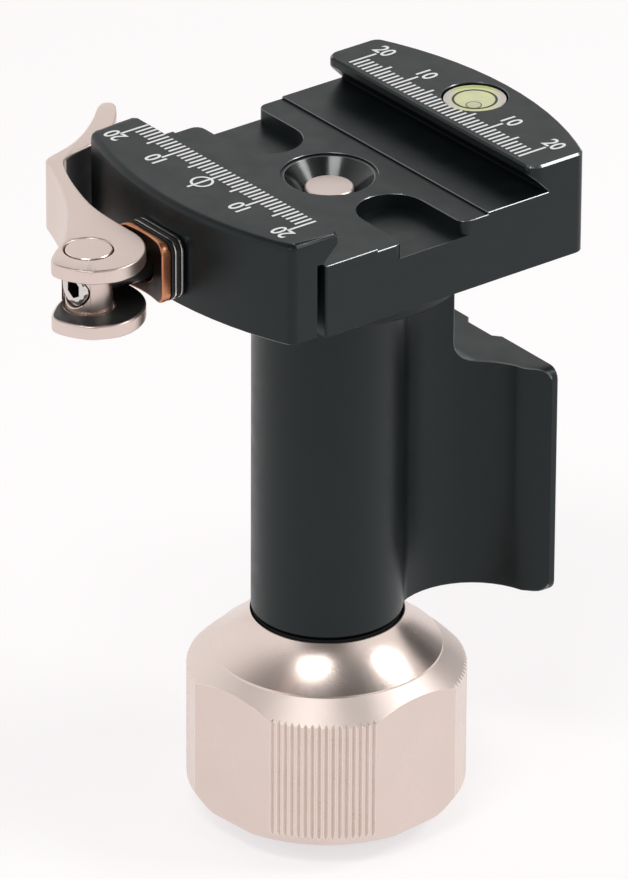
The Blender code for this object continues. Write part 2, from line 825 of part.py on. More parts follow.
screw_spots = [
    (
        FLANGE_SCREW_CIRCLE * math.cos(math.radians(FLANGE_SCREW_TURN_DEG + 360.0 / FLANGE_SCREWS * n)),
        FLANGE_SCREW_CIRCLE * math.sin(math.radians(FLANGE_SCREW_TURN_DEG + 360.0 / FLANGE_SCREWS * n)),
    )
    for n in range(FLANGE_SCREWS)
]
dowel_spots = [(0.0, -DOWEL_CIRCLE), (0.0, DOWEL_CIRCLE)]
screw_hole = FLANGE_SCREW_RADIUS + PIN_FIT
sink_top = FLANGE_BOTTOM + FLANGE_SCREW_SINK
for n, (x, y) in enumerate(screw_spots):
    cut(
        column,
        rod("flange_hole_%d" % n, screw_hole, (x, y, FLANGE_BOTTOM - FIT), (x, y, FLANGE_TOP + FIT), TINY_STEPS),
        rod(
            "flange_sink_%d" % n,
            FLANGE_SCREW_HEAD_RADIUS + PIN_FIT,
            (x, y, FLANGE_BOTTOM - FIT),
            (x, y, sink_top),
            TINY_STEPS,
        ),
    )
for n, (x, y) in enumerate(dowel_spots):
    cut(
        column,
        rod(
            "dowel_hole_low_%d" % n,
            DOWEL_RADIUS + PIN_FIT,
            (x, y, FLANGE_TOP - DOWEL_SINK - FIT),
            (x, y, FLANGE_TOP + FIT),
            TINY_STEPS,
        ),
    )
keep(column, BLACK)

# clamp body: floor and fixed jaw, one section along Y inside one outline from above
lip_z = CLAMP_TOP - JAW_LIP_HEIGHT
apex_x = JAW_LIP_X + JAW_UNDERCUT
apex_z = lip_z - JAW_UNDERCUT
ledge_z = CLAMP_FLOOR + CLAMP_LEDGE
section = [
    (-CLAMP_LEFT_X, CLAMP_BOTTOM),
    (JAW_OUTER_X + JAW_CORNER, CLAMP_BOTTOM),
    (JAW_OUTER_X + JAW_CORNER, CLAMP_TOP),
    (JAW_LIP_X + JAW_LIP_CHAMFER, CLAMP_TOP),
    (JAW_LIP_X, CLAMP_TOP - JAW_LIP_CHAMFER),
    (JAW_LIP_X, lip_z),
    (apex_x, apex_z),
    (apex_x, ledge_z),
    (CLAMP_LEDGE_HALF, ledge_z),
    (CLAMP_LEDGE_HALF, CLAMP_FLOOR),
    (-CLAMP_LEDGE_HALF, CLAMP_FLOOR),
    (-CLAMP_LEDGE_HALF, ledge_z),
    (-CLAMP_LEFT_X, ledge_z),
]
outer_end_deg = math.degrees(math.asin(CLAMP_HALF_LENGTH / JAW_OUTER_ARC))
outer_arc = arc(
    JAW_OUTER_ARC, -outer_end_deg, outer_end_deg, 14, (JAW_OUTER_X - JAW_OUTER_ARC, 0.0)
)
outer_arc = [(x, y, 0.0) for x, y in outer_arc]
outer_arc[0] = (*outer_arc[0][:2], JAW_CORNER)
outer_arc[-1] = (*outer_arc[-1][:2], JAW_CORNER)
clamp_outline = rounded(
    [(-CLAMP_LEFT_X, -CLAMP_HALF_LENGTH, CLAMP_LEDGE)]
    + outer_arc
    + [(-CLAMP_LEFT_X, CLAMP_HALF_LENGTH, CLAMP_LEDGE)]
)
clamp_base = prism("clamp_base", section, -CLAMP_HALF_LENGTH - FIT, CLAMP_HALF_LENGTH + FIT, "Y")
join(clamp_base, prism("clamp_plan", clamp_outline, CLAMP_BOTTOM - FIT, CLAMP_TOP + FIT), how="INTERSECT")

# the jaw's two inner ends are rounded in plan, down to the floor
for side, sign in (("near", -1.0), ("far", 1.0)):
    round_r = CLAMP_FRONT_CORNER
    middle = (JAW_LIP_X + round_r, sign * (CLAMP_HALF_LENGTH - round_r))
    bite = [(JAW_LIP_X - FIT, sign * (CLAMP_HALF_LENGTH + FIT)), (JAW_LIP_X - FIT, middle[1])]
    bite += [
        (x, sign * y)
        for x, y in arc(round_r, 180.0, 90.0, CORNER_STEPS, (middle[0], CLAMP_HALF_LENGTH - round_r))
    ]
    bite.append((middle[0], sign * (CLAMP_HALF_LENGTH + FIT)))
    cut(clamp_base, prism("jaw_end_" + side, bite, ledge_z + FIT, CLAMP_TOP + FIT))

# two pockets, open at the ends, with round inner ends and flared mouths
pocket_floor = CLAMP_FLOOR - POCKET_DEPTH
pocket_centre_y = POCKET_END_Y + POCKET_HALF
mouth_start_y = CLAMP_HALF_LENGTH - POCKET_MOUTH
for side, sign in (("near", -1.0), ("far", 1.0)):
    pocket = arc(POCKET_HALF, 180.0, 360.0, 14, (0.0, pocket_centre_y))
    pocket += [(POCKET_HALF, mouth_start_y)]
    pocket += arc(POCKET_MOUTH, 180.0, 90.0, 4, (POCKET_HALF + POCKET_MOUTH, mouth_start_y))[1:]
    pocket += [(POCKET_HALF + POCKET_MOUTH, CLAMP_HALF_LENGTH + FIT)]
    pocket += [(-x, y) for x, y in reversed(pocket[15:])]
    outline = [(x, sign * y) for x, y in pocket]
    cut(clamp_base, prism("pocket_" + side, outline, pocket_floor, ledge_z + FIT))

# centre hole: a small step, then a cone down to the stud
cone_depth = CENTRE_CONE_RADIUS - stud_bore
centre_hole = turned(
    "centre_hole",
    [
        (0.0, ledge_z + FIT),
        (CENTRE_HOLE_RADIUS, ledge_z + FIT),
        (CENTRE_HOLE_RADIUS, CLAMP_FLOOR - CENTRE_HOLE_EDGE),
        (CENTRE_CONE_RADIUS, CLAMP_FLOOR - CENTRE_HOLE_EDGE),
        (stud_bore, CLAMP_FLOOR - CENTRE_HOLE_EDGE - cone_depth * 1.2),
        (stud_bore, CLAMP_BOTTOM - FIT),
        (0.0, CLAMP_BOTTOM - FIT),
    ],
    48,
)
cut(clamp_base, centre_hole)
cut(
    clamp_base,
    rod(
        "level_bore",
        LEVEL_BORE,
        (LEVEL_X, LEVEL_Y, CLAMP_TOP - LEVEL_DEPTH),
        (LEVEL_X, LEVEL_Y, CLAMP_TOP + FIT),
        48,
    ),
)

bolt_z = (LEVER_BOTTOM + LEVER_TOP) / 2
bolt_bore = BOLT_RADIUS + FIT
bolt_base_end = -CLAMP_LEFT_X + BOLT_IN_BASE
cut(
    clamp_base,
    rod("bolt_bore_base", bolt_bore, (-MOVER_INNER_X, 0.0, bolt_z), (bolt_base_end + FIT, 0.0, bolt_z)),
)
spring_bore = SPRING_RADIUS + SPRING_WIRE + FIT
for side, sign in (("near", -1.0), ("far", 1.0)):
    y = sign * GUIDE_Y
    cut(
        clamp_base,
        rod(
            "guide_bore_base_" + side,
            GUIDE_RADIUS + PIN_FIT,
            (-MOVER_INNER_X, y, GUIDE_Z),
            (-CLAMP_LEFT_X + GUIDE_IN_BASE + FIT, y, GUIDE_Z),
            TINY_STEPS,
        ),
        rod(
            "spring_seat_base_" + side,
            spring_bore,
            (-MOVER_INNER_X, y, GUIDE_Z),
            (-CLAMP_LEFT_X + SPRING_SEAT_BASE, y, GUIDE_Z),
            TINY_STEPS,
        ),
    )
for n, (x, y) in enumerate(screw_spots):
    cut(
        clamp_base,
        rod(
            "clamp_screw_hole_%d" % n,
            screw_hole,
            (x, y, CLAMP_BOTTOM - FIT),
            (x, y, CLAMP_BOTTOM + FLANGE_SCREW_REACH + FIT),
            TINY_STEPS,
        ),
    )
for n, (x, y) in enumerate(dowel_spots):
    cut(
        clamp_base,
        rod(
            "dowel_hole_high_%d" % n,
            DOWEL_RADIUS + PIN_FIT,
            (x, y, CLAMP_BOTTOM - FIT),
            (x, y, CLAMP_BOTTOM + DOWEL_REACH + FIT),
            TINY_STEPS,
        ),
    )
keep(clamp_base, BLACK)

clamp_stud = keep(
    turned(
        "clamp_stud",
        [
            (0.0, STUD_TOP),
            (STUD_RADIUS - STUD_EDGE, STUD_TOP),
            (STUD_RADIUS, STUD_TOP - STUD_EDGE),
            (STUD_RADIUS, stud_bottom),
            (0.0, stud_bottom),
        ],
        SMALL_STEPS * 2,
    ),
    STEEL,
)
for n, (x, y) in enumerate(screw_spots):
    head_top = sink_top - FIT
    head_low = head_top - FLANGE_SCREW_HEAD_HEIGHT
    screw = turned(
        "flange_screw_%d" % (n + 1),
        [
            (0.0, CLAMP_BOTTOM + FLANGE_SCREW_REACH),
            (FLANGE_SCREW_RADIUS, CLAMP_BOTTOM + FLANGE_SCREW_REACH),
            (FLANGE_SCREW_RADIUS, head_top),
            (FLANGE_SCREW_HEAD_RADIUS, head_top),
            (FLANGE_SCREW_HEAD_RADIUS, head_low),
            (0.0, head_low),
        ],
        TINY_STEPS,
        centre=(x, y),
    )
    cut(
        screw,
        rod(
            "flange_screw_hex_%d" % n,
            FLANGE_SCREW_RADIUS * 0.9,
            (x, y, head_low - FIT),
            (x, y, head_low + FLANGE_SCREW_HEAD_HEIGHT * 0.6),
            6,
        ),
    )
    keep(screw, STEEL)
for n, (x, y) in enumerate(dowel_spots):
    keep(
        rod(
            "dowel_pin_%d" % (n + 1),
            DOWEL_RADIUS,
            (x, y, FLANGE_TOP - DOWEL_SINK),
            (x, y, CLAMP_BOTTOM + DOWEL_REACH),
            TINY_STEPS,
        ),
        STEEL,
    )

# level: a clear vial, open underneath, over the coloured fluid
vial_radius = LEVEL_BORE - PIN_FIT
vial_top = CLAMP_TOP - VIAL_SINK
vial_bottom = CLAMP_TOP - LEVEL_DEPTH + FIT
fluid_radius = vial_radius - VIAL_WALL - PIN_FIT
level_vial = keep(
    turned(
        "level_vial",
        [
            (0.0, vial_top),
            (vial_radius - VIAL_SINK, vial_top),
            (vial_radius, vial_top - VIAL_SINK),
            (vial_radius, vial_bottom),
            (vial_radius - VIAL_WALL, vial_bottom),
            (vial_radius - VIAL_WALL, vial_top - VIAL_ROOF),
            (0.0, vial_top - VIAL_ROOF),
        ],
        48,
        centre=(LEVEL_X, LEVEL_Y),
    ),
    CLEAR,
)
level_fluid = keep(
    turned(
        "level_fluid",
        [
            (0.0, vial_top - VIAL_ROOF - PIN_FIT),
            (fluid_radius, vial_top - VIAL_ROOF - PIN_FIT),
            (fluid_radius, vial_bottom),
            (0.0, vial_bottom),
        ],
        SMALL_STEPS,
        centre=(LEVEL_X, LEVEL_Y),
    ),
    FLUID,
)

# moving jaw
mover_lip_z = CLAMP_TOP - MOVER_LIP_HEIGHT
mover_step_z = ledge_z + MOVER_LEDGE_GAP
mover_drop = mover_lip_z - mover_step_z
mover_end_deg = math.degrees(math.asin(MOVER_HALF_LENGTH / MOVER_OUTER_ARC))
mover_arc_x = -MOVER_OUTER_X + MOVER_OUTER_ARC
mover_run = arc(MOVER_OUTER_ARC, 180.0 - mover_end_deg, 180.0 + mover_end_deg, 14, (mover_arc_x, 0.0))
mover_corners = [(x, y, 0.0) for x, y in mover_run]
mover_corners[0] = (*mover_run[0], MOVER_CORNER)
mover_corners[-1] = (*mover_run[-1], MOVER_CORNER)
mover_outline = rounded(
    [(-MOVER_LIP_X + FIT, -MOVER_HALF_LENGTH, 0.0), (-MOVER_LIP_X + FIT, MOVER_HALF_LENGTH, 0.0)]
    + mover_corners
)
moving_jaw = prism("moving_jaw", mover_outline, MOVER_BOTTOM, CLAMP_TOP)
round_top_edge(moving_jaw, CLAMP_TOP, MOVER_EDGE, 3, -MOVER_LIP_X)
groove_side = [
    (-MOVER_LIP_X - MOVER_LIP_CHAMFER, CLAMP_TOP + FIT),
    (-MOVER_LIP_X - MOVER_LIP_CHAMFER, CLAMP_TOP),
    (-MOVER_LIP_X, CLAMP_TOP - MOVER_LIP_CHAMFER),
    (-MOVER_LIP_X, mover_lip_z),
    (-MOVER_LIP_X - mover_drop, mover_step_z),
    (-MOVER_INNER_X, mover_step_z),
    (-MOVER_INNER_X, MOVER_BOTTOM - FIT),
    (0.0, MOVER_BOTTOM - FIT),
    (0.0, CLAMP_TOP + FIT),
]
cut(moving_jaw, prism("mover_groove_side", groove_side, -CLAMP_HALF_LENGTH - FIT, CLAMP_HALF_LENGTH + FIT, "Y"))
cut(
    moving_jaw,
    rod("bolt_bore_jaw", bolt_bore, (-MOVER_OUTER_X - MOVER_EDGE, 0.0, bolt_z), (0.0, 0.0, bolt_z)),
)
for side, sign in (("near", -1.0), ("far", 1.0)):
    y = sign * GUIDE_Y
    cut(
        moving_jaw,
        rod(
            "guide_bore_jaw_" + side,
            GUIDE_RADIUS + PIN_FIT,
            (0.0, y, GUIDE_Z),
            (-MOVER_INNER_X - GUIDE_IN_JAW - FIT, y, GUIDE_Z),
            TINY_STEPS,
        ),
        rod(
            "spring_seat_jaw_" + side,
            spring_bore,
            (0.0, y, GUIDE_Z),
            (-MOVER_INNER_X - SPRING_SEAT_JAW, y, GUIDE_Z),
            TINY_STEPS,
        ),
    )
keep(moving_jaw, BLACK)

for side, sign in (("near", -1.0), ("far", 1.0)):
    y = sign * GUIDE_Y
    keep(
        rod(
            "guide_pin_" + side,
            GUIDE_RADIUS,
            (-CLAMP_LEFT_X + GUIDE_IN_BASE, y, GUIDE_Z),
            (-MOVER_INNER_X - GUIDE_IN_JAW, y, GUIDE_Z),
            TINY_STEPS,
        ),
        STEEL,
    )
    spring_start = -CLAMP_LEFT_X + SPRING_SEAT_BASE - SPRING_WIRE - FIT
    spring_end = -MOVER_INNER_X - SPRING_SEAT_JAW + SPRING_WIRE + FIT
    curve = bpy.data.curves.new("jaw_spring_" + side, "CURVE")
    curve.dimensions = "3D"
    curve.bevel_depth = SPRING_WIRE
    curve.bevel_resolution = 1
    curve.use_fill_caps = True
    spline = curve.splines.new("POLY")
    last = SPRING_TURNS * SPRING_POINTS
    spline.points.add(last)
    for n in range(last + 1):
        turn = math.tau * n / SPRING_POINTS
        spline.points[n].co = (
            spring_start + (spring_end - spring_start) * n / last,
            y + SPRING_RADIUS * math.cos(turn),
            GUIDE_Z + SPRING_RADIUS * math.sin(turn),
            1.0,
        )
    coil = linked("jaw_spring_%s_wire" % side, curve)
    bpy.context.view_layer.update()
    seen = coil.evaluated_get(bpy.context.evaluated_depsgraph_get())
    mesh = bpy.data.meshes.new_from_object(seen)
    mesh.name = "jaw_spring_" + side
    bpy.data.objects.remove(coil, do_unlink=True)
    body = bmesh.new()
    body.from_mesh(mesh)
    bmesh.ops.remove_doubles(body, verts=body.verts, dist=FIT / 100)
    bmesh.ops.recalc_face_normals(body, faces=body.faces)
    body.to_mesh(mesh)
    body.free()
    keep(linked("jaw_spring_" + side, mesh), STEEL)
coil_gap = abs(spring_end - spring_start) / SPRING_TURNS - 2 * SPRING_WIRE
print("least gap between a jaw spring's turns: %.2f mm" % (1000 * coil_gap))

# plates and the copper pad between the jaw and the cam
pad_outline = rounded(
    [
        (-PAD_HALF, PAD_BOTTOM, PAD_CORNER),
        (PAD_HALF, PAD_BOTTOM, PAD_CORNER),
        (PAD_HALF, PAD_TOP, PAD_CORNER),
        (-PAD_HALF, PAD_TOP, PAD_CORNER),
    ]
)
plate_looks = (STEEL, DARK, STEEL, DARK)
plate_pitch = (COPPER_START_X - PLATES_START_X) / len(PLATE_NAMES)
for n, (name, look) in enumerate(zip(PLATE_NAMES, plate_looks)):
    near = -PLATES_START_X - plate_pitch * n
    plate = prism(name, pad_outline, near - plate_pitch + LAYER_FIT, near, "X")
    cut(
        plate,
        rod("bolt_bore_" + name, bolt_bore, (near + FIT, 0.0, bolt_z), (near - 2 * plate_pitch, 0.0, bolt_z)),
    )
    keep(plate, look)
copper_front = -COPPER_START_X - COPPER_THICKNESS
copper_pad = prism("copper_pad", pad_outline, copper_front, -COPPER_START_X, "X")
edge_round(copper_pad, COPPER_EDGE, 1)
cut(
    copper_pad,
    rod(
        "bolt_bore_copper",
        bolt_bore,
        (copper_front - FIT, 0.0, bolt_z),
        (-COPPER_START_X + FIT, 0.0, bolt_z),
    ),
)
keep(copper_pad, COPPER)

# lever: hub with a cam flat, arm round the jaw's far corner, flared finger tip
cam_run = [(CAM_FLAT, CAM_FLAT_START_Y)]
for step in range(CAM_ARC_STEPS + 1):
    turn_deg = -CAM_ARC_DEG * step / CAM_ARC_STEPS
    radius = CAM_FLAT - CAM_DROP_PER_TURN * abs(turn_deg) / 360.0
    cam_run.append((radius * math.cos(math.radians(turn_deg)), radius * math.sin(math.radians(turn_deg))))


def lever_points(shares):
    return [(u * LEVER_REACH, v * LEVER_REACH) for u, v in shares]


lever_run = cam_run
lever_run += smooth_run(lever_points(LEVER_BACK_SHARES), 2)
lever_run += smooth_run(lever_points(LEVER_FINGER_SHARES), 2)
lever_run += lever_points(LEVER_TIP_SHARES)
lever_run += smooth_run(lever_points(LEVER_INNER_SHARES), 2)
lever_outline = [(PIN_X + x, y) for x, y in lever_run]
lever = prism("lever", lever_outline, LEVER_BOTTOM, LEVER_TOP)
edge_round(lever, LEVER_EDGE, 1, 50.0)
slot_low = LEVER_BOTTOM + FORK_PLATE
slot_high = LEVER_TOP - FORK_PLATE
slot_reach = LEVER_REACH / 2
fork_slot = [
    (PIN_X - slot_reach, FORK_BACK_Y),
    (PIN_X - slot_reach, -slot_reach),
    (PIN_X + slot_reach, -slot_reach),
    (PIN_X + slot_reach, FORK_BACK_Y),
]
barrel_bore = BARREL_RADIUS + PIN_FIT
cut(
    lever,
    prism("fork_slot", fork_slot, slot_low, slot_high),
    rod("barrel_bore", barrel_bore, (PIN_X, 0.0, LEVER_BOTTOM - FIT), (PIN_X, 0.0, LEVER_TOP + FIT), 32),
)
keep(lever, CHAMPAGNE)

lever_barrel = rod("lever_barrel", BARREL_RADIUS, (PIN_X, 0.0, LEVER_BOTTOM), (PIN_X, 0.0, LEVER_TOP), 32)
bolt_end_x = PIN_X - BARREL_RADIUS + BOLT_END_INSET
bolt_head_x = bolt_end_x + BOLT_HEAD_LENGTH
cut(
    lever_barrel,
    rod("bolt_bore_barrel", bolt_bore, (bolt_head_x, 0.0, bolt_z), (PIN_X + 2 * BARREL_RADIUS, 0.0, bolt_z)),
    rod(
        "bolt_head_bore",
        BOLT_HEAD_RADIUS + PIN_FIT,
        (PIN_X - 2 * BARREL_RADIUS, 0.0, bolt_z),
        (bolt_head_x + FIT, 0.0, bolt_z),
    ),
)
keep(lever_barrel, CHAMPAGNE)

draw_bolt = rod("draw_bolt", BOLT_RADIUS, (bolt_head_x - FIT, 0.0, bolt_z), (bolt_base_end, 0.0, bolt_z))
join(draw_bolt, rod("bolt_head", BOLT_HEAD_RADIUS, (bolt_end_x, 0.0, bolt_z), (bolt_head_x, 0.0, bolt_z)))
cut(
    draw_bolt,
    rod(
        "bolt_hex",
        BOLT_HEX_RADIUS,
        (bolt_end_x - FIT, 0.0, bolt_z),
        (bolt_end_x + BOLT_HEX_DEPTH, 0.0, bolt_z),
        6,
    ),
)
keep(draw_bolt, STEEL)

# joints' frames: an empty on each axis, with the pieces that move hung on it
FRAMES = (
    ("pan_axis", (0.0, 0.0, BALL_HEIGHT), None),
    ("tilt_x_axis", (0.0, 0.0, BALL_HEIGHT), "pan_axis"),
    ("tilt_y_axis", (0.0, 0.0, BALL_HEIGHT), "tilt_x_axis"),
    ("collar_axis", (0.0, 0.0, COLLAR_BOTTOM), "tilt_y_axis"),
    ("jaw_slide_axis", (-MOVER_INNER_X, 0.0, bolt_z), "tilt_y_axis"),
    ("lever_axis", (PIN_X, 0.0, bolt_z), "tilt_y_axis"),
)
CARRIED = {
    "pan_axis": ("lower_liner",),
    "tilt_x_axis": ("upper_liner",),
    "collar_axis": ("lock_collar", "ball_retainer"),
    "jaw_slide_axis": ("moving_jaw", "copper_pad") + PLATE_NAMES,
    "lever_axis": ("lever",),
}
STANDING = ("base_disc", "grub_screw", "threaded_insert", "ball")


def hang(child, parent):
    """Parents without moving the child."""
    bpy.context.view_layer.update()
    child.parent = parent
    child.matrix_parent_inverse = parent.matrix_world.inverted()


for name, spot, parent_name in FRAMES:
    frame = bpy.data.objects.new(name, None)
    frame.empty_display_size = BASE_RADIUS
    frame.location = spot
    PARTS.objects.link(frame)
    if parent_name:
        hang(frame, bpy.data.objects[parent_name])
carried = {piece: name for name, pieces in CARRIED.items() for piece in pieces}
for obj in list(PARTS.objects):
    if obj.type == "MESH" and obj.name not in STANDING:
        hang(obj, bpy.data.objects[carried.get(obj.name, "tilt_y_axis")])
bpy.context.view_layer.update()
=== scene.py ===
"""Looks, studio and camera for the monopod tilt head."""

import json
import math

import bmesh
import bpy
from mathutils import Matrix, Vector


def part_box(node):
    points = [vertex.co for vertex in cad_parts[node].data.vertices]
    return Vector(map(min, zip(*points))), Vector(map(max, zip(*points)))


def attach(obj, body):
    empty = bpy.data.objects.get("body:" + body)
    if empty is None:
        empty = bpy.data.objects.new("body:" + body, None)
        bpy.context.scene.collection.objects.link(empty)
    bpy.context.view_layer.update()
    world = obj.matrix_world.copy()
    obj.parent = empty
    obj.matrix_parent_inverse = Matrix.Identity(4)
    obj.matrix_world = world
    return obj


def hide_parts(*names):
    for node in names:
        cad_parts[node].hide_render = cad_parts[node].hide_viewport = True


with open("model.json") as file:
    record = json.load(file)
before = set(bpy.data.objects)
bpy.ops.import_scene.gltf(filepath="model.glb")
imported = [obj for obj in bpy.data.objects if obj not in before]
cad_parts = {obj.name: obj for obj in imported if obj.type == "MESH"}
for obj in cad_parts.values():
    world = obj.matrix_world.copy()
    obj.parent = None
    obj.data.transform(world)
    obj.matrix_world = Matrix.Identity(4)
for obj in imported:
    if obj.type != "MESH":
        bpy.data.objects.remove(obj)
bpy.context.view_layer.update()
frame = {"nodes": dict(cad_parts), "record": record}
nodes = frame["nodes"]

# camera, from the fit of the two engraved scales (metres, degrees)
CAMERA_AZIMUTH = -37.543
CAMERA_ELEVATION = 27.274
CAMERA_ROLL = 0.271
CAMERA_DISTANCE = 1.400
CAMERA_TARGET = (-0.001667, 0.001177, 0.061085)
SENSOR_WIDTH = 36.0
FOCAL_PIXELS = 9525.7
PHOTO_WIDTH = 628.0

# engraved scales
SCALE_HALF_MM = 20
TICK_PITCH = 0.001
TICK_WIDTH = 0.00040
TICK_LENGTH = 0.0030
TICK_LENGTH_FIVE = 0.0040
TICK_LENGTH_TEN = 0.0050
MARK_LIFT = 0.00002
MARK_THICKNESS = 0.00002
FIXED_TICK_START = 0.01905
MOVER_TICK_START = -0.01735
MOVER_SCALE_SHIFT = 0.0006
DIGIT_SIZE = 0.0037
DIGIT_BOLD = 0.016
DIGIT_SQUEEZE = 0.86
FIXED_DIGIT_X = 0.0255
MOVER_DIGIT_X = -0.0232
CENTRE_MARK_RADIUS = 0.00155
CENTRE_MARK_X = -0.0226
CENTRE_MARK_TAIL = 0.0011

# skins; a round is (slope in degrees, least and greatest radius) of a turned surface
MERGE_DISTANCE = 0.0000002
SAME_HEIGHT = 0.00001
ROUND_CLEAR = 0.0012
FLAT_DEG = 0.6
NORMAL_WEIGHT = 50
AXIS_CLEAR = 0.001
ROUND_ACROSS = 0.16
ROUND_SLOPE_DEG = 3.0
COLLAR_ROUNDS = ((0.0, 0.0205, 0.0213), (48.87, 0.0174, 0.0209), (-33.02, 0.0195, 0.0209))
CONE_FACES = (0.0174, 0.0209, 0.0238)
FLARE_RUN = ((0.0116, 0.0332), (0.0129, 0.0306), (0.01725, 0.0274))
KNURL_FACES = (0.0199, 0.0066, 0.0236)
COLUMN_ROUNDS = ((0.0, 0.0109, 0.0117), (0.0, 0.0199, 0.0207))

# how a face has to lie to get a look of its own, as the size of a part of its normal
CONE_RISE = 0.3
KNURL_RISE = 0.2
KNURL_LEAN = 0.3
CENTRE_RISE = (0.2, 0.95)
# lever slot faces that get painted shade
SLOT_FACING = 0.9
# copper pad faces that get painted shade
PAD_FACING = 0.8

# lever, draw bolt and copper pad: sizes as the part has them, but for the pad's hollow and the steps
PIN_X = -0.0432
FORK_PLATE = 0.0022
FORK_BACK_Y = 0.0040
BARREL_BORE = 0.0036
CAM_FLAT = 0.00845
CAM_FLAT_START_Y = 0.0006
CAM_DROP_PER_TURN = 0.0026
CAM_ARC_DEG = 96.0
CAM_ARC_STEPS = 24
LEVER_REACH = 0.0383
LEVER_SPAN_STEPS = 6
LEVER_SPACING = 0.0003
LEVER_AVERAGES = 6
LEVER_BACK_SHARES = (
    (-0.105, -0.165), (-0.150, -0.105), (-0.178, -0.040), (-0.172, 0.004), (-0.105, 0.067),
    (-0.027, 0.122), (0.106, 0.281), (0.174, 0.391), (0.255, 0.548), (0.294, 0.645),
)
LEVER_FINGER_SHARES = (
    (0.318, 0.714), (0.335, 0.727), (0.443, 0.759), (0.508, 0.785), (0.592, 0.835),
    (0.684, 0.908), (0.750, 0.972),
)
LEVER_TIP_SHARES = ((0.783, 0.996), (0.806, 0.997), (0.829, 0.978), (0.829, 0.955))
LEVER_INNER_SHARES = (
    (0.785, 0.890), (0.700, 0.800), (0.620, 0.745), (0.540, 0.722), (0.460, 0.704), (0.396, 0.683),
    (0.362, 0.655), (0.307, 0.542), (0.265, 0.420), (0.236, 0.315), (0.225, 0.240), (0.2206, 0.160),
)
BOLT_HEAD_END = -0.0438
BOLT_HEX_REACH = 0.0016
BOLT_HEX_INSET = 0.00016
CENTRE_REACH = 0.0071
PAD_HOLLOW = 0.0009
PAD_HOLLOW_STEPS = 20
PAD_CORNER = 0.0020
PAD_CORNER_STEPS = 8
PAD_BORE = 0.0023
FINE_BEVEL_DEG = 60.0
RING_STEPS = 64

# level
BUBBLE_RADIUS = 0.0011
BUBBLE_EDGE = 0.00022
LEVEL_LENS = 0.00025
LEVEL_INSET = 0.00012
LEVEL_RING_RADIUS = 0.0032
LEVEL_RING_WIDTH = 0.00036
LEVEL_CLEAR = 0.0003
LEVEL_DISC_RADIUS = 0.0047
BUBBLE_SPOT = (-0.00135, -0.00146)
BUBBLE_FLATNESS = 0.05
LEVEL_STEPS = 96
# the level's rim gets a painted reflection, paler and pinkish along this way, over this share of its radius
LEVEL_PAINTED_REFLECTION_WAY = (0.793, -0.609, 0.0)
LEVEL_PAINTED_REFLECTION_RUN = (0.55, 0.85)
LEVEL_POOL_EDGE = 0.0002


# materials


def new_material(name):
    made = bpy.data.materials.new(name)
    made.use_nodes = True
    tree = made.node_tree
    return made, tree, tree.nodes["Principled BSDF"]


def add(tree, kind, **inputs):
    node = tree.nodes.new(kind)
    for key, value in inputs.items():
        node.inputs[key.replace("_", " ")].default_value = value
    return node


def object_coords(tree):
    return tree.nodes.new("ShaderNodeTexCoord").outputs["Object"]


def ramp(tree, factor, low, high, from_low=0.3, from_high=0.7):
    """Maps a factor to a colour between two."""
    mapped = tree.nodes.new("ShaderNodeValToRGB")
    mapped.color_ramp.elements[0].position = from_low
    mapped.color_ramp.elements[1].position = from_high
    mapped.color_ramp.elements[0].color = (*low, 1.0)
    mapped.color_ramp.elements[1].color = (*high, 1.0)
    tree.links.new(factor, mapped.inputs["Fac"])
    return mapped.outputs["Color"]


def grain(tree, shader, scale, strength, distance, stretch=(1.0, 1.0, 1.0)):
    """Fine bump from noise, stretched along an axis for turned or brushed metal."""
    mapping = tree.nodes.new("ShaderNodeMapping")
    mapping.inputs["Scale"].default_value = stretch
    tree.links.new(object_coords(tree), mapping.inputs["Vector"])
    noise = add(tree, "ShaderNodeTexNoise", Scale=scale, Detail=3.0, Roughness=0.6)
    tree.links.new(mapping.outputs["Vector"], noise.inputs["Vector"])
    bump = add(tree, "ShaderNodeBump", Strength=strength, Distance=distance)
    tree.links.new(noise.outputs["Fac"], bump.inputs["Height"])
    tree.links.new(bump.outputs["Normal"], shader.inputs["Normal"])


def metal(name, colour_low, colour_high, roughness_low, roughness_high, metallic, grain_scale,
          grain_strength, grain_distance=0.00002, stretch=(1.0, 1.0, 1.0), specular=0.5):
    """Bead-blasted or brushed metal: a fine bump, with colour and roughness that vary a little."""
    made, tree, shader = new_material(name)
    shader.inputs["Metallic"].default_value = metallic
    shader.inputs["Specular IOR Level"].default_value = specular
    grain(tree, shader, grain_scale, grain_strength, grain_distance, stretch)
    cloud = add(tree, "ShaderNodeTexNoise", Scale=grain_scale / 30.0, Detail=2.0)
    tree.links.new(object_coords(tree), cloud.inputs["Vector"])
    colour = ramp(tree, cloud.outputs["Fac"], colour_low, colour_high)
    tree.links.new(colour, shader.inputs["Base Color"])
    rough = ramp(tree, cloud.outputs["Fac"], (roughness_low,) * 3, (roughness_high,) * 3)
    tree.links.new(rough, shader.inputs["Roughness"])
    return made


black = metal("black_anodised", (0.0050, 0.0072, 0.0080), (0.0072, 0.0098, 0.0108), 0.34, 0.42, 0.0, 9000.0, 0.35,
              specular=0.33)
black.node_tree.nodes["Principled BSDF"].inputs["Specular Tint"].default_value = (0.88, 0.985, 1.0, 1.0)
black_edge = metal("black_machined_edge", (0.13, 0.14, 0.145), (0.19, 0.20, 0.205), 0.16, 0.24, 0.6, 9000.0, 0.10,
                   specular=0.8)
champagne = metal("champagne_blasted", (0.742, 0.622, 0.565), (0.756, 0.639, 0.582), 0.25, 0.28, 0.95, 5200.0, 0.5,
                  grain_distance=0.000020)
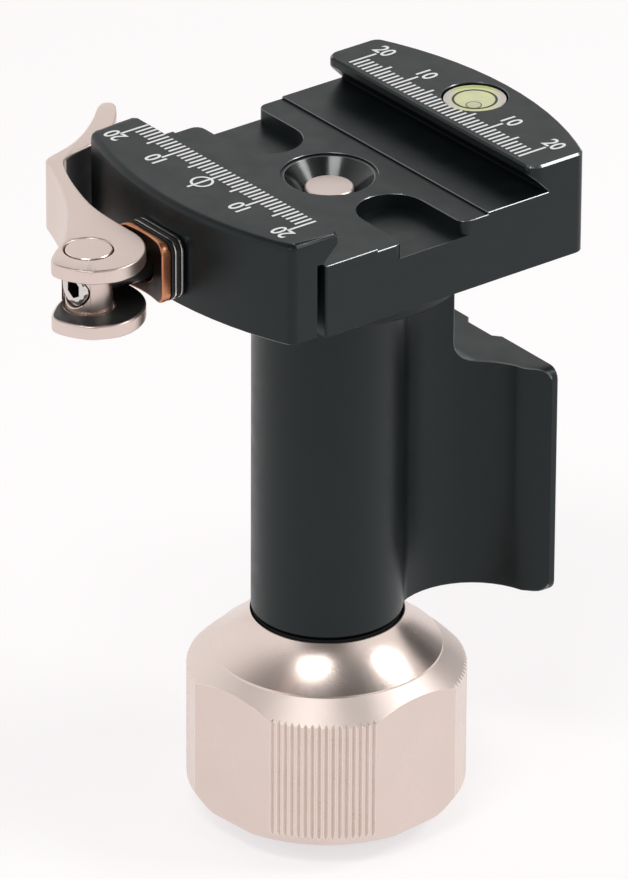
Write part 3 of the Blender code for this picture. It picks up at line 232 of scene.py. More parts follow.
# the cone's rougher blasted finish is its own; its lighter colour is painted light
champagne_cone_painted_light = metal("champagne_blasted_rough_painted_light", (0.803, 0.689, 0.635), (0.822, 0.713, 0.659), 0.42, 0.46, 0.95,
                       5200.0, 1.0, grain_distance=0.000030)
# painted light: a lighter copy of the champagne for the knurl grooves' sides
champagne_knurl_painted_light = metal("champagne_knurl_painted_light", (0.800, 0.715, 0.665), (0.840, 0.760, 0.710), 0.26, 0.32, 0.95,
                        5200.0, 0.8)
turned_black = metal("black_turned", (0.006, 0.008, 0.009), (0.012, 0.014, 0.015), 0.16, 0.24, 0.0, 3000.0, 0.15,
                     specular=0.5)
champagne_edge = metal("champagne_machined_edge", (0.80, 0.68, 0.62), (0.84, 0.72, 0.66), 0.20, 0.26, 0.95,
                       6000.0, 0.2)
lever_metal = metal("champagne_lever", (0.710, 0.588, 0.534), (0.755, 0.634, 0.580), 0.30, 0.38, 0.95, 5000.0, 0.35)
# painted shade: a dark look for the lever's slot faces between the fork's plates
slot_painted_shade = metal("lever_slot_painted_shade", (0.030, 0.032, 0.031), (0.060, 0.062, 0.060), 0.30, 0.42, 0.5, 5000.0, 0.5)
steel = metal("bright_steel", (0.55, 0.53, 0.51), (0.62, 0.60, 0.58), 0.20, 0.28, 1.0, 4000.0, 0.12)
polished = metal("polished_steel", (0.66, 0.62, 0.59), (0.72, 0.68, 0.65), 0.10, 0.16, 1.0, 4000.0, 0.06)
# painted shade: a dark steel for the draw bolt's hex recess and its shank
painted_shade_steel = metal("steel_painted_shade", (0.020, 0.020, 0.020), (0.035, 0.034, 0.033), 0.28, 0.36, 0.5, 4000.0, 0.1)
pin_steel = metal("blasted_steel", (0.740, 0.620, 0.575), (0.820, 0.705, 0.660), 0.34, 0.42, 0.85, 2500.0, 0.35)
copper = metal("copper", (0.50, 0.19, 0.10), (0.68, 0.31, 0.17), 0.22, 0.34, 1.0, 3000.0, 0.3)
# painted shade: a dark copper for the pad's hollow face towards the lever
copper_painted_shade = metal("copper_face_painted_shade", (0.020, 0.012, 0.009), (0.050, 0.026, 0.018), 0.30, 0.45, 0.6, 3000.0, 0.3)
polymer = metal("dark_polymer", (0.006, 0.006, 0.007), (0.010, 0.010, 0.011), 0.5, 0.6, 0.0, 5000.0, 0.2)


def paint(name, colour, roughness):
    """A plain, slightly uneven colour."""
    made, tree, shader = new_material(name)
    shader.inputs["Roughness"].default_value = roughness
    noise = add(tree, "ShaderNodeTexNoise", Scale=6000.0, Detail=2.0)
    tree.links.new(object_coords(tree), noise.inputs["Vector"])
    tint = ramp(tree, noise.outputs["Fac"], tuple(0.93 * c for c in colour), colour)
    tree.links.new(tint, shader.inputs["Base Color"])
    return made


def clear(name, colour, transmission, roughness):
    """A clear, lightly tinted plastic."""
    made, tree, shader = new_material(name)
    shader.inputs["Roughness"].default_value = roughness
    shader.inputs["IOR"].default_value = 1.45
    shader.inputs["Transmission Weight"].default_value = transmission
    noise = add(tree, "ShaderNodeTexNoise", Scale=900.0, Detail=1.0)
    tree.links.new(object_coords(tree), noise.inputs["Vector"])
    tint = ramp(tree, noise.outputs["Fac"], tuple(0.97 * c for c in colour), colour)
    tree.links.new(tint, shader.inputs["Base Color"])
    return made


engraving = paint("engraving_white", (0.95, 0.95, 0.95), 0.6)
ring_black = paint("level_ring_black", (0.01, 0.01, 0.01), 0.4)
acrylic = clear("level_acrylic", (0.95, 0.96, 0.88), 0.9, 0.06)
fluid = paint("level_fluid", (0.72, 0.78, 0.22), 0.15)
bubble_look = paint("level_bubble", (0.60, 0.64, 0.38), 0.10)
# painted shade: the dark ring at the bubble's edge
bubble_edge_painted_shade = paint("level_bubble_edge_painted_shade", (0.13, 0.15, 0.08), 0.15)


def level_look(name, centre, inner, outer):
    """Yellow-green fluid inside the ring; outside it a rim whose pinkish, paler colour along one way across the level
    is a painted reflection.
    """
    made, tree, shader = new_material(name)
    shader.inputs["Roughness"].default_value = 0.08
    shader.inputs["Coat Weight"].default_value = 0.6
    mapping = tree.nodes.new("ShaderNodeMapping")
    mapping.inputs["Location"].default_value = (-centre[0], -centre[1], 0.0)
    tree.links.new(object_coords(tree), mapping.inputs["Vector"])
    parts = tree.nodes.new("ShaderNodeSeparateXYZ")
    tree.links.new(mapping.outputs["Vector"], parts.inputs["Vector"])
    flat = tree.nodes.new("ShaderNodeCombineXYZ")
    tree.links.new(parts.outputs["X"], flat.inputs["X"])
    tree.links.new(parts.outputs["Y"], flat.inputs["Y"])
    reach = tree.nodes.new("ShaderNodeVectorMath")
    reach.operation = "LENGTH"
    tree.links.new(flat.outputs["Vector"], reach.inputs[0])
    aside = tree.nodes.new("ShaderNodeVectorMath")
    aside.operation = "DOT_PRODUCT"
    aside.inputs[1].default_value = LEVEL_PAINTED_REFLECTION_WAY
    tree.links.new(flat.outputs["Vector"], aside.inputs[0])
    spread = tree.nodes.new("ShaderNodeMath")
    spread.operation = "ABSOLUTE"
    tree.links.new(aside.outputs["Value"], spread.inputs[0])
    # where across the rim the painted reflection lies
    rim_scale = tree.nodes.new("ShaderNodeMapRange")
    rim_scale.inputs["From Min"].default_value = LEVEL_PAINTED_REFLECTION_RUN[0] * outer
    rim_scale.inputs["From Max"].default_value = LEVEL_PAINTED_REFLECTION_RUN[1] * outer
    tree.links.new(spread.outputs["Value"], rim_scale.inputs["Value"])
    rim = ramp(tree, rim_scale.outputs["Result"], (0.66, 0.70, 0.30), (0.60, 0.53, 0.49), 0.0, 1.0)
    noise = add(tree, "ShaderNodeTexNoise", Scale=500.0, Detail=2.0)
    tree.links.new(object_coords(tree), noise.inputs["Vector"])
    pool = ramp(tree, noise.outputs["Fac"], (0.60, 0.62, 0.36), (0.72, 0.76, 0.30))
    edge = tree.nodes.new("ShaderNodeMapRange")
    edge.inputs["From Min"].default_value = inner
    edge.inputs["From Max"].default_value = inner + LEVEL_POOL_EDGE
    tree.links.new(reach.outputs["Value"], edge.inputs["Value"])
    mix = tree.nodes.new("ShaderNodeMix")
    mix.data_type = "RGBA"
    tree.links.new(edge.outputs["Result"], mix.inputs[0])
    tree.links.new(pool, mix.inputs[6])
    tree.links.new(rim, mix.inputs[7])
    tree.links.new(mix.outputs[2], shader.inputs["Base Color"])
    return made


vial_low, vial_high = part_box("level_vial")
level_centre = ((vial_low[0] + vial_high[0]) / 2, (vial_low[1] + vial_high[1]) / 2)
level_disc = level_look("level_disc", level_centre, LEVEL_RING_RADIUS, LEVEL_DISC_RADIUS)

NODE_LOOKS = {
    "base_disc": black, "grub_screw": steel, "threaded_insert": steel, "ball": steel,
    "lower_liner": polymer, "upper_liner": polymer, "ball_socket": black, "socket_screw": steel,
    "neck_ring": polymer, "lock_collar": champagne, "ball_retainer": black, "column": black,
    "clamp_base": black, "clamp_stud": pin_steel, "dowel_pin_1": steel, "dowel_pin_2": steel,
    "flange_screw_1": steel, "flange_screw_2": steel, "flange_screw_3": steel, "flange_screw_4": steel,
    "level_vial": acrylic, "level_fluid": fluid, "moving_jaw": black, "guide_pin_near": steel,
    "guide_pin_far": steel, "jaw_spring_near": steel, "jaw_spring_far": steel, "steel_plate": polished,
    "rubber_plate": polymer, "steel_washer_plate": polished, "shim_plate": polymer, "copper_pad": copper,
    "lever": lever_metal, "lever_barrel": lever_metal, "draw_bolt": polished,
}
for node_name, look in NODE_LOOKS.items():
    node = nodes[node_name]
    if not node.material_slots:
        node.data.materials.append(look)
    for material_slot in node.material_slots:
        material_slot.material = look


# pieces


def place(obj, looks, body):
    """Gives a piece its looks, one or several, and its body."""
    for look in looks if isinstance(looks, tuple) else (looks,):
        obj.data.materials.append(look)
    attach(obj, body)
    return obj


def mesh_object(name, build):
    """An object made of a bmesh, which is freed."""
    mesh = bpy.data.meshes.new(name)
    build.to_mesh(mesh)
    build.free()
    obj = bpy.data.objects.new(name, mesh)
    bpy.context.scene.collection.objects.link(obj)
    return obj


# skins: each visible node again, with its flats merged, its sharp edges rounded and its curves smooth


def dress(build, name, looks, body, node_name, groups, bevel_deg=50.0, sharp_deg=30.0, rounds=()):
    """Rounds the sharp convex edges of a bmesh and shows it in a node's place.

    groups holds (test of an edge, width, segments) in the order they are cut; rounds holds
    the surfaces turned about the column's axis. Bevels take the second look.
    """
    build.normal_update()
    for test, width, segments in groups:
        rims = [
            edge for edge in build.edges
            if len(edge.link_faces) == 2
            and edge.is_convex
            and edge.calc_face_angle(0.0) > math.radians(bevel_deg)
            and test(edge)
        ]
        made = bmesh.ops.bevel(
            build, geom=rims, offset=width, offset_type="OFFSET", segments=segments, profile=0.5,
            affect="EDGES", clamp_overlap=False,
        )
        for face in made["faces"]:
            face.material_index = 1
        build.normal_update()
    for face in build.faces:
        face.smooth = True
    for edge in build.edges:
        edge.smooth = len(edge.link_faces) == 2 and edge.calc_face_angle(0.0) < math.radians(sharp_deg)
    bmesh.ops.triangulate(build, faces=[face for face in build.faces if len(face.verts) > 4])
    draft = mesh_object(name + "_draft", build)
    look_of = [face.material_index for face in draft.data.polygons]
    evened = draft.modifiers.new("even_normals", "WEIGHTED_NORMAL")
    evened.keep_sharp = True
    evened.weight = NORMAL_WEIGHT
    bpy.context.view_layer.update()
    mesh = bpy.data.meshes.new_from_object(draft.evaluated_get(bpy.context.evaluated_depsgraph_get()))
    mesh.name = name
    bpy.data.objects.remove(draft, do_unlink=True)
    mesh.materials.clear()
    mesh.polygons.foreach_set("material_index", look_of)
    if rounds:
        even_rounds(mesh, rounds)
    if node_name == "lock_collar":
        even_flare(mesh)
    piece = bpy.data.objects.new(name, mesh)
    bpy.context.scene.collection.objects.link(piece)
    place(piece, looks, body)
    mesh.polygons.foreach_set("material_index", look_of)
    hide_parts(node_name)
    return piece


def even_rounds(mesh, rounds):
    """Gives the faces of a turned surface the true surface's normals."""
    normals = [corner.vector.copy() for corner in mesh.corner_normals]
    for face in mesh.polygons:
        if face.material_index == 1:
            continue
        out = Vector((face.center.x, face.center.y))
        reach = out.length
        if reach < AXIS_CLEAR:
            continue
        out.normalize()
        across = face.normal.y * out.x - face.normal.x * out.y
        along = face.normal.x * out.x + face.normal.y * out.y
        slope = math.degrees(math.asin(max(-1.0, min(1.0, face.normal.z))))
        for true_slope, nearest, furthest in rounds:
            if abs(across) > ROUND_ACROSS or along < 0.0 or abs(slope - true_slope) > ROUND_SLOPE_DEG:
                continue
            if not nearest < reach < furthest:
                continue
            for index in face.loop_indices:
                spot = mesh.vertices[mesh.loops[index].vertex_index].co
                way = Vector((spot.x, spot.y)).normalized() * math.cos(math.radians(true_slope))
                normals[index] = Vector((way.x, way.y, math.sin(math.radians(true_slope))))
    mesh.normals_split_custom_set(normals)


def even_flare(mesh):
    """Gives the collar's hollow flare the normals of the curve that it is turned from."""
    lip, bend, foot = (Vector(spot) for spot in FLARE_RUN)
    normals = [corner.vector.copy() for corner in mesh.corner_normals]
    for face in mesh.polygons:
        out = Vector((face.center.x, face.center.y))
        if not lip.x < out.length < foot.x or face.center.z < foot.y or face.normal.z < CONE_RISE:
            continue
        for index in face.loop_indices:
            spot = mesh.vertices[mesh.loops[index].vertex_index].co
            way = Vector((spot.x, spot.y))
            curve = lip.x - 2 * bend.x + foot.x
            lean = bend.x - lip.x
            gap = max(0.0, min(way.length, foot.x) - lip.x)
            share = gap / (lean + math.sqrt(lean ** 2 + curve * gap))
            along = (bend - lip) * (1 - share) + (foot - bend) * share
            way.normalize()
            rise = Vector((-along.y, along.x)).normalized()
            normals[index] = Vector((way.x * rise.x, way.y * rise.x, rise.y))
    mesh.normals_split_custom_set(normals)


def joined_flats(mesh):
    """A bmesh of a mesh with the triangles of each flat joined."""
    build = bmesh.new()
    build.from_mesh(mesh)
    bmesh.ops.remove_doubles(build, verts=build.verts, dist=MERGE_DISTANCE)
    bmesh.ops.dissolve_limit(
        build, angle_limit=math.radians(FLAT_DEG), use_dissolve_boundaries=False,
        verts=build.verts, edges=build.edges,
    )
    return build


def merged(node_name):
    """A node's bmesh, all in the first look."""
    build = joined_flats(nodes[node_name].data)
    for face in build.faces:
        face.material_index = 0
    return build


def any_edge(edge):
    return True


def top_edge(edge):
    """An edge of a jaw's top face, but for the level's bore, which stays sharp."""
    if min(vert.co.z for vert in edge.verts) < min(jaw_top, mover_top) - SAME_HEIGHT:
        return False
    return all(math.dist(vert.co.xy, level_centre) > LEVEL_DISC_RADIUS + ROUND_CLEAR for vert in edge.verts)


BODY_OF = {name: body for body, names in frame["record"]["behaviour"]["bodies"].items() for name in names}
jaw_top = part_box("clamp_base")[1][2]
mover_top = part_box("moving_jaw")[1][2]
bolt_low, bolt_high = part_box("draw_bolt")
bolt_z = (bolt_low[2] + bolt_high[2]) / 2

# node: (looks, groups of edges, turned surfaces)
SKINS = {
    "lock_collar": (
        (champagne, champagne_edge, champagne_cone_painted_light, champagne_knurl_painted_light), ((any_edge, 0.00007, 1),), COLLAR_ROUNDS,
    ),
    "column": ((black, black_edge), ((any_edge, 0.00015, 2),), COLUMN_ROUNDS),
    "clamp_base": ((black, black_edge, turned_black), ((top_edge, 0.00030, 1), (any_edge, 0.00009, 1)), ()),
    "moving_jaw": ((black, black_edge), ((top_edge, 0.00036, 1), (any_edge, 0.00010, 1)), ()),
    "lever_barrel": ((lever_metal, champagne_edge), ((any_edge, 0.00010, 1),), ()),
    "steel_plate": ((polished, polished), ((any_edge, 0.00012, 2),), ()),
    "rubber_plate": ((polymer, polymer), ((any_edge, 0.00006, 1),), ()),
    "steel_washer_plate": ((polished, polished), ((any_edge, 0.00012, 2),), ()),
    "shim_plate": ((polymer, polymer), ((any_edge, 0.00006, 1),), ()),
    "clamp_stud": ((pin_steel, champagne_edge), ((any_edge, 0.00008, 1),), ()),
    "draw_bolt": ((polished, polished, painted_shade_steel), ((any_edge, 0.00010, 2),), ()),
    "neck_ring": ((polymer, polymer), (), ()),
    "base_disc": ((black, black_edge), ((any_edge, 0.00012, 1),), ()),
    "ball_retainer": ((black, black_edge), ((any_edge, 0.00010, 1),), ()),
    "threaded_insert": ((steel, steel), (), ()),
    "ball": ((steel, steel), (), ()),
}
for number in range(1, 5):
    SKINS["flange_screw_%d" % number] = ((steel, steel), ((any_edge, 0.00010, 1),), ())


def look_at_spots(build, node_name):
    """Looks of parts of a node: the collar's cone and knurls, lighter by painted light, the centre hole's cone, and
    the bolt's recess and shank, dark by painted shade.
    """
    build.normal_update()
    for face in build.faces:
        spot = face.calc_center_median()
        # the cone takes a lighter look, painted light
        if node_name == "lock_collar" and face.normal.z > CONE_RISE:
            if CONE_FACES[0] < spot.xy.length < CONE_FACES[1] and spot.z > CONE_FACES[2]:
                face.material_index = 2
        # the knurls' sides take a lighter look, painted light
        if node_name == "lock_collar" and abs(face.normal.z) < KNURL_RISE and spot.xy.length > KNURL_FACES[0]:
            across = (face.normal.y * spot.x - face.normal.x * spot.y) / spot.xy.length
            if abs(across) > KNURL_LEAN and KNURL_FACES[1] < spot.z < KNURL_FACES[2]:
                face.material_index = 3
        if node_name == "clamp_base" and spot.xy.length < CENTRE_REACH:
            if CENTRE_RISE[0] < face.normal.z < CENTRE_RISE[1]:
                face.material_index = 2
        # the bolt's hex recess and its shank take the dark steel, painted shade
        if node_name == "draw_bolt":
            aside = math.hypot(spot.y, spot.z - bolt_z)
            in_recess = aside < BOLT_HEX_REACH and spot.x > bolt_low[0] + BOLT_HEX_INSET
            if spot.x > BOLT_HEAD_END or in_recess:
                face.material_index = 2


for node_name, (looks, groups, rounds) in SKINS.items():
    build = merged(node_name)
    look_at_spots(build, node_name)
    dress(build, node_name + "_skin", looks, BODY_OF[node_name], node_name, groups, rounds=rounds)


# lever and copper pad: the nodes' forms again on finer curves


def curve_through(points, per_span):
    """A Catmull-Rom curve through the points, which keeps them all."""
    spots = [Vector(p) for p in points]
    run = []
    for index in range(len(spots) - 1):
        first = spots[max(index - 1, 0)]
        here = spots[index]
        there = spots[index + 1]
        last = spots[min(index + 2, len(spots) - 1)]
        for step in range(per_span):
            t = step / per_span
            run.append(
                0.5 * (
                    2 * here
                    + (there - first) * t
                    + (2 * first - 5 * here + 4 * there - last) * t * t
                    + (3 * here - first - 3 * there + last) * t ** 3
                )
            )
    run.append(spots[-1])
    return run


def evened_loop(points, spacing, rounds):
    """A closed outline at even spacing, softened by a few averages of neighbours."""
    lengths = [0.0]
    closed = points + [points[0]]
    for before, after in zip(closed, closed[1:]):
        lengths.append(lengths[-1] + (after - before).length)
    count = int(lengths[-1] / spacing)
    run = []
    span = 0
    for n in range(count):
        want = lengths[-1] * n / count
        while lengths[span + 1] < want:
            span += 1
        share = (want - lengths[span]) / (lengths[span + 1] - lengths[span])
        run.append(closed[span].lerp(closed[span + 1], share))
    for _ in range(rounds):
        run = [(run[n - 1] + 2 * run[n] + run[(n + 1) % count]) / 4 for n in range(count)]
    return run


def prism(name, outline, low, high, axis="Z"):
    """A closed solid over an outline, along Z, X (y, z points) or Y (x, z points)."""
    turn = {
        "Z": lambda u, v, w: (u, v, w),
        "X": lambda u, v, w: (w, u, v),
        "Y": lambda u, v, w: (u, w, v),
    }[axis]
    build = bmesh.new()
    floor_ring = [build.verts.new(turn(p[0], p[1], low)) for p in outline]
    roof_ring = [build.verts.new(turn(p[0], p[1], high)) for p in outline]
    build.faces.new(floor_ring)
    build.faces.new(roof_ring)
    count = len(outline)
    for n in range(count):
        m = (n + 1) % count
        build.faces.new((floor_ring[n], floor_ring[m], roof_ring[m], roof_ring[n]))
    bmesh.ops.recalc_face_normals(build, faces=build.faces)
    return mesh_object(name, build)


def circle_points(radius, centre, count=RING_STEPS):
    return [
        (centre[0] + radius * math.cos(math.tau * n / count), centre[1] + radius * math.sin(math.tau * n / count))
        for n in range(count)
    ]


def carve(target, cutter, how="DIFFERENCE"):
    """One exact boolean, applied at once, and the cutter is dropped."""
    step = target.modifiers.new("carve", "BOOLEAN")
    step.operation = how
    step.solver = "EXACT"
    step.object = cutter
    bpy.context.view_layer.update()
    mesh = bpy.data.meshes.new_from_object(target.evaluated_get(bpy.context.evaluated_depsgraph_get()))
    target.modifiers.clear()
    target.data = mesh
    bpy.data.objects.remove(cutter, do_unlink=True)
    return target


def take_apart(obj):
    """An object's bmesh; the object is dropped."""
    build = joined_flats(obj.data)
    bpy.data.objects.remove(obj, do_unlink=True)
    return build


lever_low, lever_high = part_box("lever")
cam_run = [Vector((CAM_FLAT, CAM_FLAT_START_Y))]
for step in range(CAM_ARC_STEPS + 1):
    turn_deg = -CAM_ARC_DEG * step / CAM_ARC_STEPS
    radius = CAM_FLAT - CAM_DROP_PER_TURN * abs(turn_deg) / 360.0
    cam_run.append(Vector((radius, 0.0)) @ Matrix.Rotation(-math.radians(turn_deg), 2))
lever_run = list(cam_run)
for shares in (LEVER_BACK_SHARES, LEVER_FINGER_SHARES, LEVER_TIP_SHARES, LEVER_INNER_SHARES):
    lever_run += curve_through([(u * LEVER_REACH, v * LEVER_REACH) for u, v in shares], LEVER_SPAN_STEPS)
lever_run = evened_loop(lever_run, LEVER_SPACING, LEVER_AVERAGES)
lever_outline = [(PIN_X + p.x, p.y) for p in lever_run]
slot_low = lever_low[2] + FORK_PLATE
slot_high = lever_high[2] - FORK_PLATE
lever_draft = prism("lever_draft", lever_outline, lever_low[2], lever_high[2])
fork_slot = [
    (PIN_X - LEVER_REACH, FORK_BACK_Y),
    (PIN_X - LEVER_REACH, -LEVER_REACH),
    (PIN_X + LEVER_REACH, -LEVER_REACH),
    (PIN_X + LEVER_REACH, FORK_BACK_Y),
]
carve(lever_draft, prism("fork_slot", fork_slot, slot_low, slot_high))
bore_run = circle_points(BARREL_BORE, (PIN_X, 0.0))
carve(lever_draft, prism("barrel_bore", bore_run, lever_low[2] - FORK_PLATE, lever_high[2] + FORK_PLATE))
lever_build = take_apart(lever_draft)
lever_build.normal_update()
# the slot's walls between the fork's plates get a dark look, painted shade
for face in lever_build.faces:
    inside = slot_low - SAME_HEIGHT < face.calc_center_median().z < slot_high + SAME_HEIGHT
    on_wall = abs(face.normal.z) > SLOT_FACING or face.normal.y < -SLOT_FACING
    face.material_index = 2 if inside and on_wall else 0
dress(
    lever_build, "lever_skin", (lever_metal, lever_metal, slot_painted_shade), "lever", "lever",
    ((any_edge, 0.00030, 3),), bevel_deg=FINE_BEVEL_DEG,
)

pad_low, pad_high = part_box("copper_pad")
pad_plan = [(pad_high[0], pad_low[1]), (pad_high[0], pad_high[1])]
for n in range(PAD_HOLLOW_STEPS + 1):
    share = 1.0 - 2.0 * n / PAD_HOLLOW_STEPS
    pad_plan.append((pad_low[0] + PAD_HOLLOW * (1.0 - share ** 2), share * pad_high[1]))
pad_draft = prism("pad_draft", pad_plan, pad_low[2], pad_high[2])
pad_face = []
for side_y, side_z, start_deg in ((1, 1, 0.0), (-1, 1, 90.0), (-1, -1, 180.0), (1, -1, 270.0)):
    for n in range(PAD_CORNER_STEPS + 1):
        turn = math.radians(start_deg + 90.0 * n / PAD_CORNER_STEPS)
        pad_face.append((
            side_y * (pad_high[1] - PAD_CORNER) + PAD_CORNER * math.cos(turn),
            (pad_low[2] + pad_high[2]) / 2
            + side_z * ((pad_high[2] - pad_low[2]) / 2 - PAD_CORNER) + PAD_CORNER * math.sin(turn),
        ))
carve(pad_draft, prism("pad_face", pad_face, pad_low[0] - PAD_CORNER, pad_high[0] + PAD_CORNER, "X"), "INTERSECT")
bore_run = circle_points(PAD_BORE, (0.0, bolt_z))
carve(pad_draft, prism("pad_bore", bore_run, pad_low[0] - PAD_CORNER, pad_high[0] + PAD_CORNER, "X"))
pad_build = take_apart(pad_draft)
pad_build.normal_update()
# the pad's face towards the lever gets the dark copper, painted shade
for face in pad_build.faces:
    face.material_index = 2 if face.normal.x < -PAD_FACING else 0
dress(
    pad_build, "copper_pad_skin", (copper, copper, copper_painted_shade), BODY_OF["copper_pad"], "copper_pad",
    ((any_edge, 0.00030, 3),), bevel_deg=FINE_BEVEL_DEG,
)


# engraved marks


def slab(build, low, high):
    """A thin box added to a bmesh."""
    size = [high[i] - low[i] for i in range(3)]
    middle = Vector([(high[i] + low[i]) / 2 for i in range(3)])
    made = bmesh.ops.create_cube(build, size=1.0)
    for vert in made["verts"]:
        vert.co = Vector([vert.co[i] * size[i] for i in range(3)]) + middle


def ticks(name, start, outward, shift, top, body):
    """One 40 mm scale of 1 mm ticks, longer at each five and ten."""
    build = bmesh.new()
    for mm in range(-SCALE_HALF_MM, SCALE_HALF_MM + 1):
        length = TICK_LENGTH
        if mm % 5 == 0:
            length = TICK_LENGTH_FIVE
        if mm % 10 == 0:
            length = TICK_LENGTH_TEN
        y = shift + mm * TICK_PITCH
        stop = start + outward * length
        aside = y - level_centre[1]
        if outward > 0.0 and abs(aside) < level_reach:
            stop = min(stop, level_centre[0] - math.sqrt(level_reach ** 2 - aside ** 2))
        ends = sorted((start, stop))
        low = (ends[0], y - TICK_WIDTH / 2, top + MARK_LIFT)
        high = (ends[1], y + TICK_WIDTH / 2, top + MARK_LIFT + MARK_THICKNESS)
        slab(build, low, high)
    return place(mesh_object(name, build), engraving, body)


def digits(name, words, centre, turn_deg, top, body):
    """A plain number that lies on a jaw."""
    curve = bpy.data.curves.new(name + "_text", "FONT")
    curve.body = words
    curve.size = DIGIT_SIZE
    curve.align_x = "CENTER"
    curve.align_y = "CENTER"
    curve.extrude = MARK_THICKNESS / 2
    curve.offset = DIGIT_SIZE * DIGIT_BOLD
    text = bpy.data.objects.new(name + "_text", curve)
    bpy.context.scene.collection.objects.link(text)
    bpy.context.view_layer.update()
    mesh = bpy.data.meshes.new_from_object(text.evaluated_get(bpy.context.evaluated_depsgraph_get()))
    bpy.data.objects.remove(text, do_unlink=True)
    mesh.transform(Matrix.Diagonal((DIGIT_SQUEEZE, 1.0, 1.0, 1.0)))
    mesh.transform(Matrix.Rotation(math.radians(turn_deg), 4, "Z"))
    mesh.transform(Matrix.Translation((*centre, top + MARK_LIFT + MARK_THICKNESS / 2)))
    obj = bpy.data.objects.new(name, mesh)
    bpy.context.scene.collection.objects.link(obj)
    return place(obj, engraving, body)


level_reach = (vial_high[0] - vial_low[0]) / 2 + LEVEL_CLEAR
ticks("scale_fixed", FIXED_TICK_START, 1.0, 0.0, jaw_top, "head")
ticks("scale_moving", MOVER_TICK_START, -1.0, MOVER_SCALE_SHIFT, mover_top, "jaw")
for mm in (-20, -10, 10, 20):
    side = "near" if mm < 0 else "far"
    words = str(abs(mm))
    tag = "%s_%s" % (words, side)
    digits("fixed_" + tag, words, (FIXED_DIGIT_X, mm * TICK_PITCH), -90.0, jaw_top, "head")
    digits(
        "moving_" + tag, words, (MOVER_DIGIT_X, MOVER_SCALE_SHIFT + mm * TICK_PITCH), 90.0, mover_top, "jaw"
    )


def flat_ring(name, centre, radius, width, top, look, body, segments=RING_STEPS):
    """A flat ring at a height, round the middle of its width."""
    build = bmesh.new()
    rings = []
    for r in (radius - width / 2, radius + width / 2):
        rings.append([
            build.verts.new((
                centre[0] + r * math.cos(math.tau * n / segments),
                centre[1] + r * math.sin(math.tau * n / segments),
                top,
            ))
            for n in range(segments)
        ])
    for n in range(segments):
        m = (n + 1) % segments
        build.faces.new((rings[0][n], rings[1][n], rings[1][m], rings[0][m]))
    return place(mesh_object(name, build), look, body)


mark_z = mover_top + MARK_LIFT + MARK_THICKNESS
flat_ring(
    "centre_mark", (CENTRE_MARK_X, MOVER_SCALE_SHIFT), CENTRE_MARK_RADIUS, TICK_WIDTH, mark_z + MARK_LIFT,
    engraving, "jaw",
)
tail = bmesh.new()
slab(
    tail,
    (
        CENTRE_MARK_X - CENTRE_MARK_RADIUS - CENTRE_MARK_TAIL, MOVER_SCALE_SHIFT - TICK_WIDTH / 2,
        mark_z - MARK_THICKNESS,
    ),
    (MOVER_TICK_START - TICK_LENGTH_TEN, MOVER_SCALE_SHIFT + TICK_WIDTH / 2, mark_z),
)
place(mesh_object("centre_mark_line", tail), engraving, "jaw")


# level: a coloured disc with a rounded rim, its black ring and the bubble
disc_z = vial_high[2] - LEVEL_LENS
vial = bmesh.new()
vial_radius = (vial_high[0] - vial_low[0]) / 2 - LEVEL_INSET
profile = [
    (0.0, disc_z), (vial_radius - LEVEL_LENS, disc_z), (vial_radius, disc_z + LEVEL_LENS / 2),
    (vial_radius, vial_low[2]), (0.0, vial_low[2]),
]
rings = []
for r, z in profile:
    rings.append([
        vial.verts.new((level_centre[0] + r * math.cos(math.tau * n / LEVEL_STEPS),
                        level_centre[1] + r * math.sin(math.tau * n / LEVEL_STEPS), z))
        for n in range(LEVEL_STEPS)
    ])
for inner, outer in zip(rings, rings[1:]):
    for n in range(LEVEL_STEPS):
        m = (n + 1) % LEVEL_STEPS
        vial.faces.new((inner[n], inner[m], outer[m], outer[n]))
bmesh.ops.remove_doubles(vial, verts=vial.verts, dist=MERGE_DISTANCE)
bmesh.ops.recalc_face_normals(vial, faces=vial.faces)
vial_piece = place(mesh_object("level_body", vial), level_disc, "head")
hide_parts("level_vial", "level_fluid")
flat_ring(
    "level_ring", level_centre, LEVEL_RING_RADIUS, LEVEL_RING_WIDTH, disc_z + MARK_LIFT, ring_black, "head",
    LEVEL_STEPS,
)
bubble_middle = (level_centre[0] + BUBBLE_SPOT[0], level_centre[1] + BUBBLE_SPOT[1])
# the bubble's dark edge, painted shade
flat_ring(
    "level_bubble_edge_painted_shade", bubble_middle, BUBBLE_RADIUS, BUBBLE_EDGE, disc_z + 2 * MARK_LIFT, bubble_edge_painted_shade, "head"
)
build = bmesh.new()
bmesh.ops.create_uvsphere(build, u_segments=48, v_segments=16, radius=BUBBLE_RADIUS)
for vert in build.verts:
    flattened = Vector((vert.co.x, vert.co.y, vert.co.z * BUBBLE_FLATNESS))
    vert.co = flattened + Vector((*bubble_middle, disc_z + MARK_LIFT))
bubble = place(mesh_object("level_bubble", build), bubble_look, "head")
bubble.data.shade_smooth()


# studio

FLOOR_SIZE = 6.0
FLOOR_DROP = 0.0002
SKY_STOPS = ((0.0, 0.97), (0.30, 1.04), (0.58, 0.96), (0.78, 0.36), (0.90, 0.08), (1.0, 0.03))
DARK_SIDE = ((-0.552, -0.719, 0.423), 0.15, 0.72, 0.95)
DARK_BACK = ((0.969, 0.111, 0.220), 0.25, 0.90, 0.97)
FLOOR_SHADE = (0.40, 0.395, 0.395)
FLOOR_GLOW = (0.695, 0.672, 0.679)
LAMP_TARGET = (0.0, 0.0, 0.06)


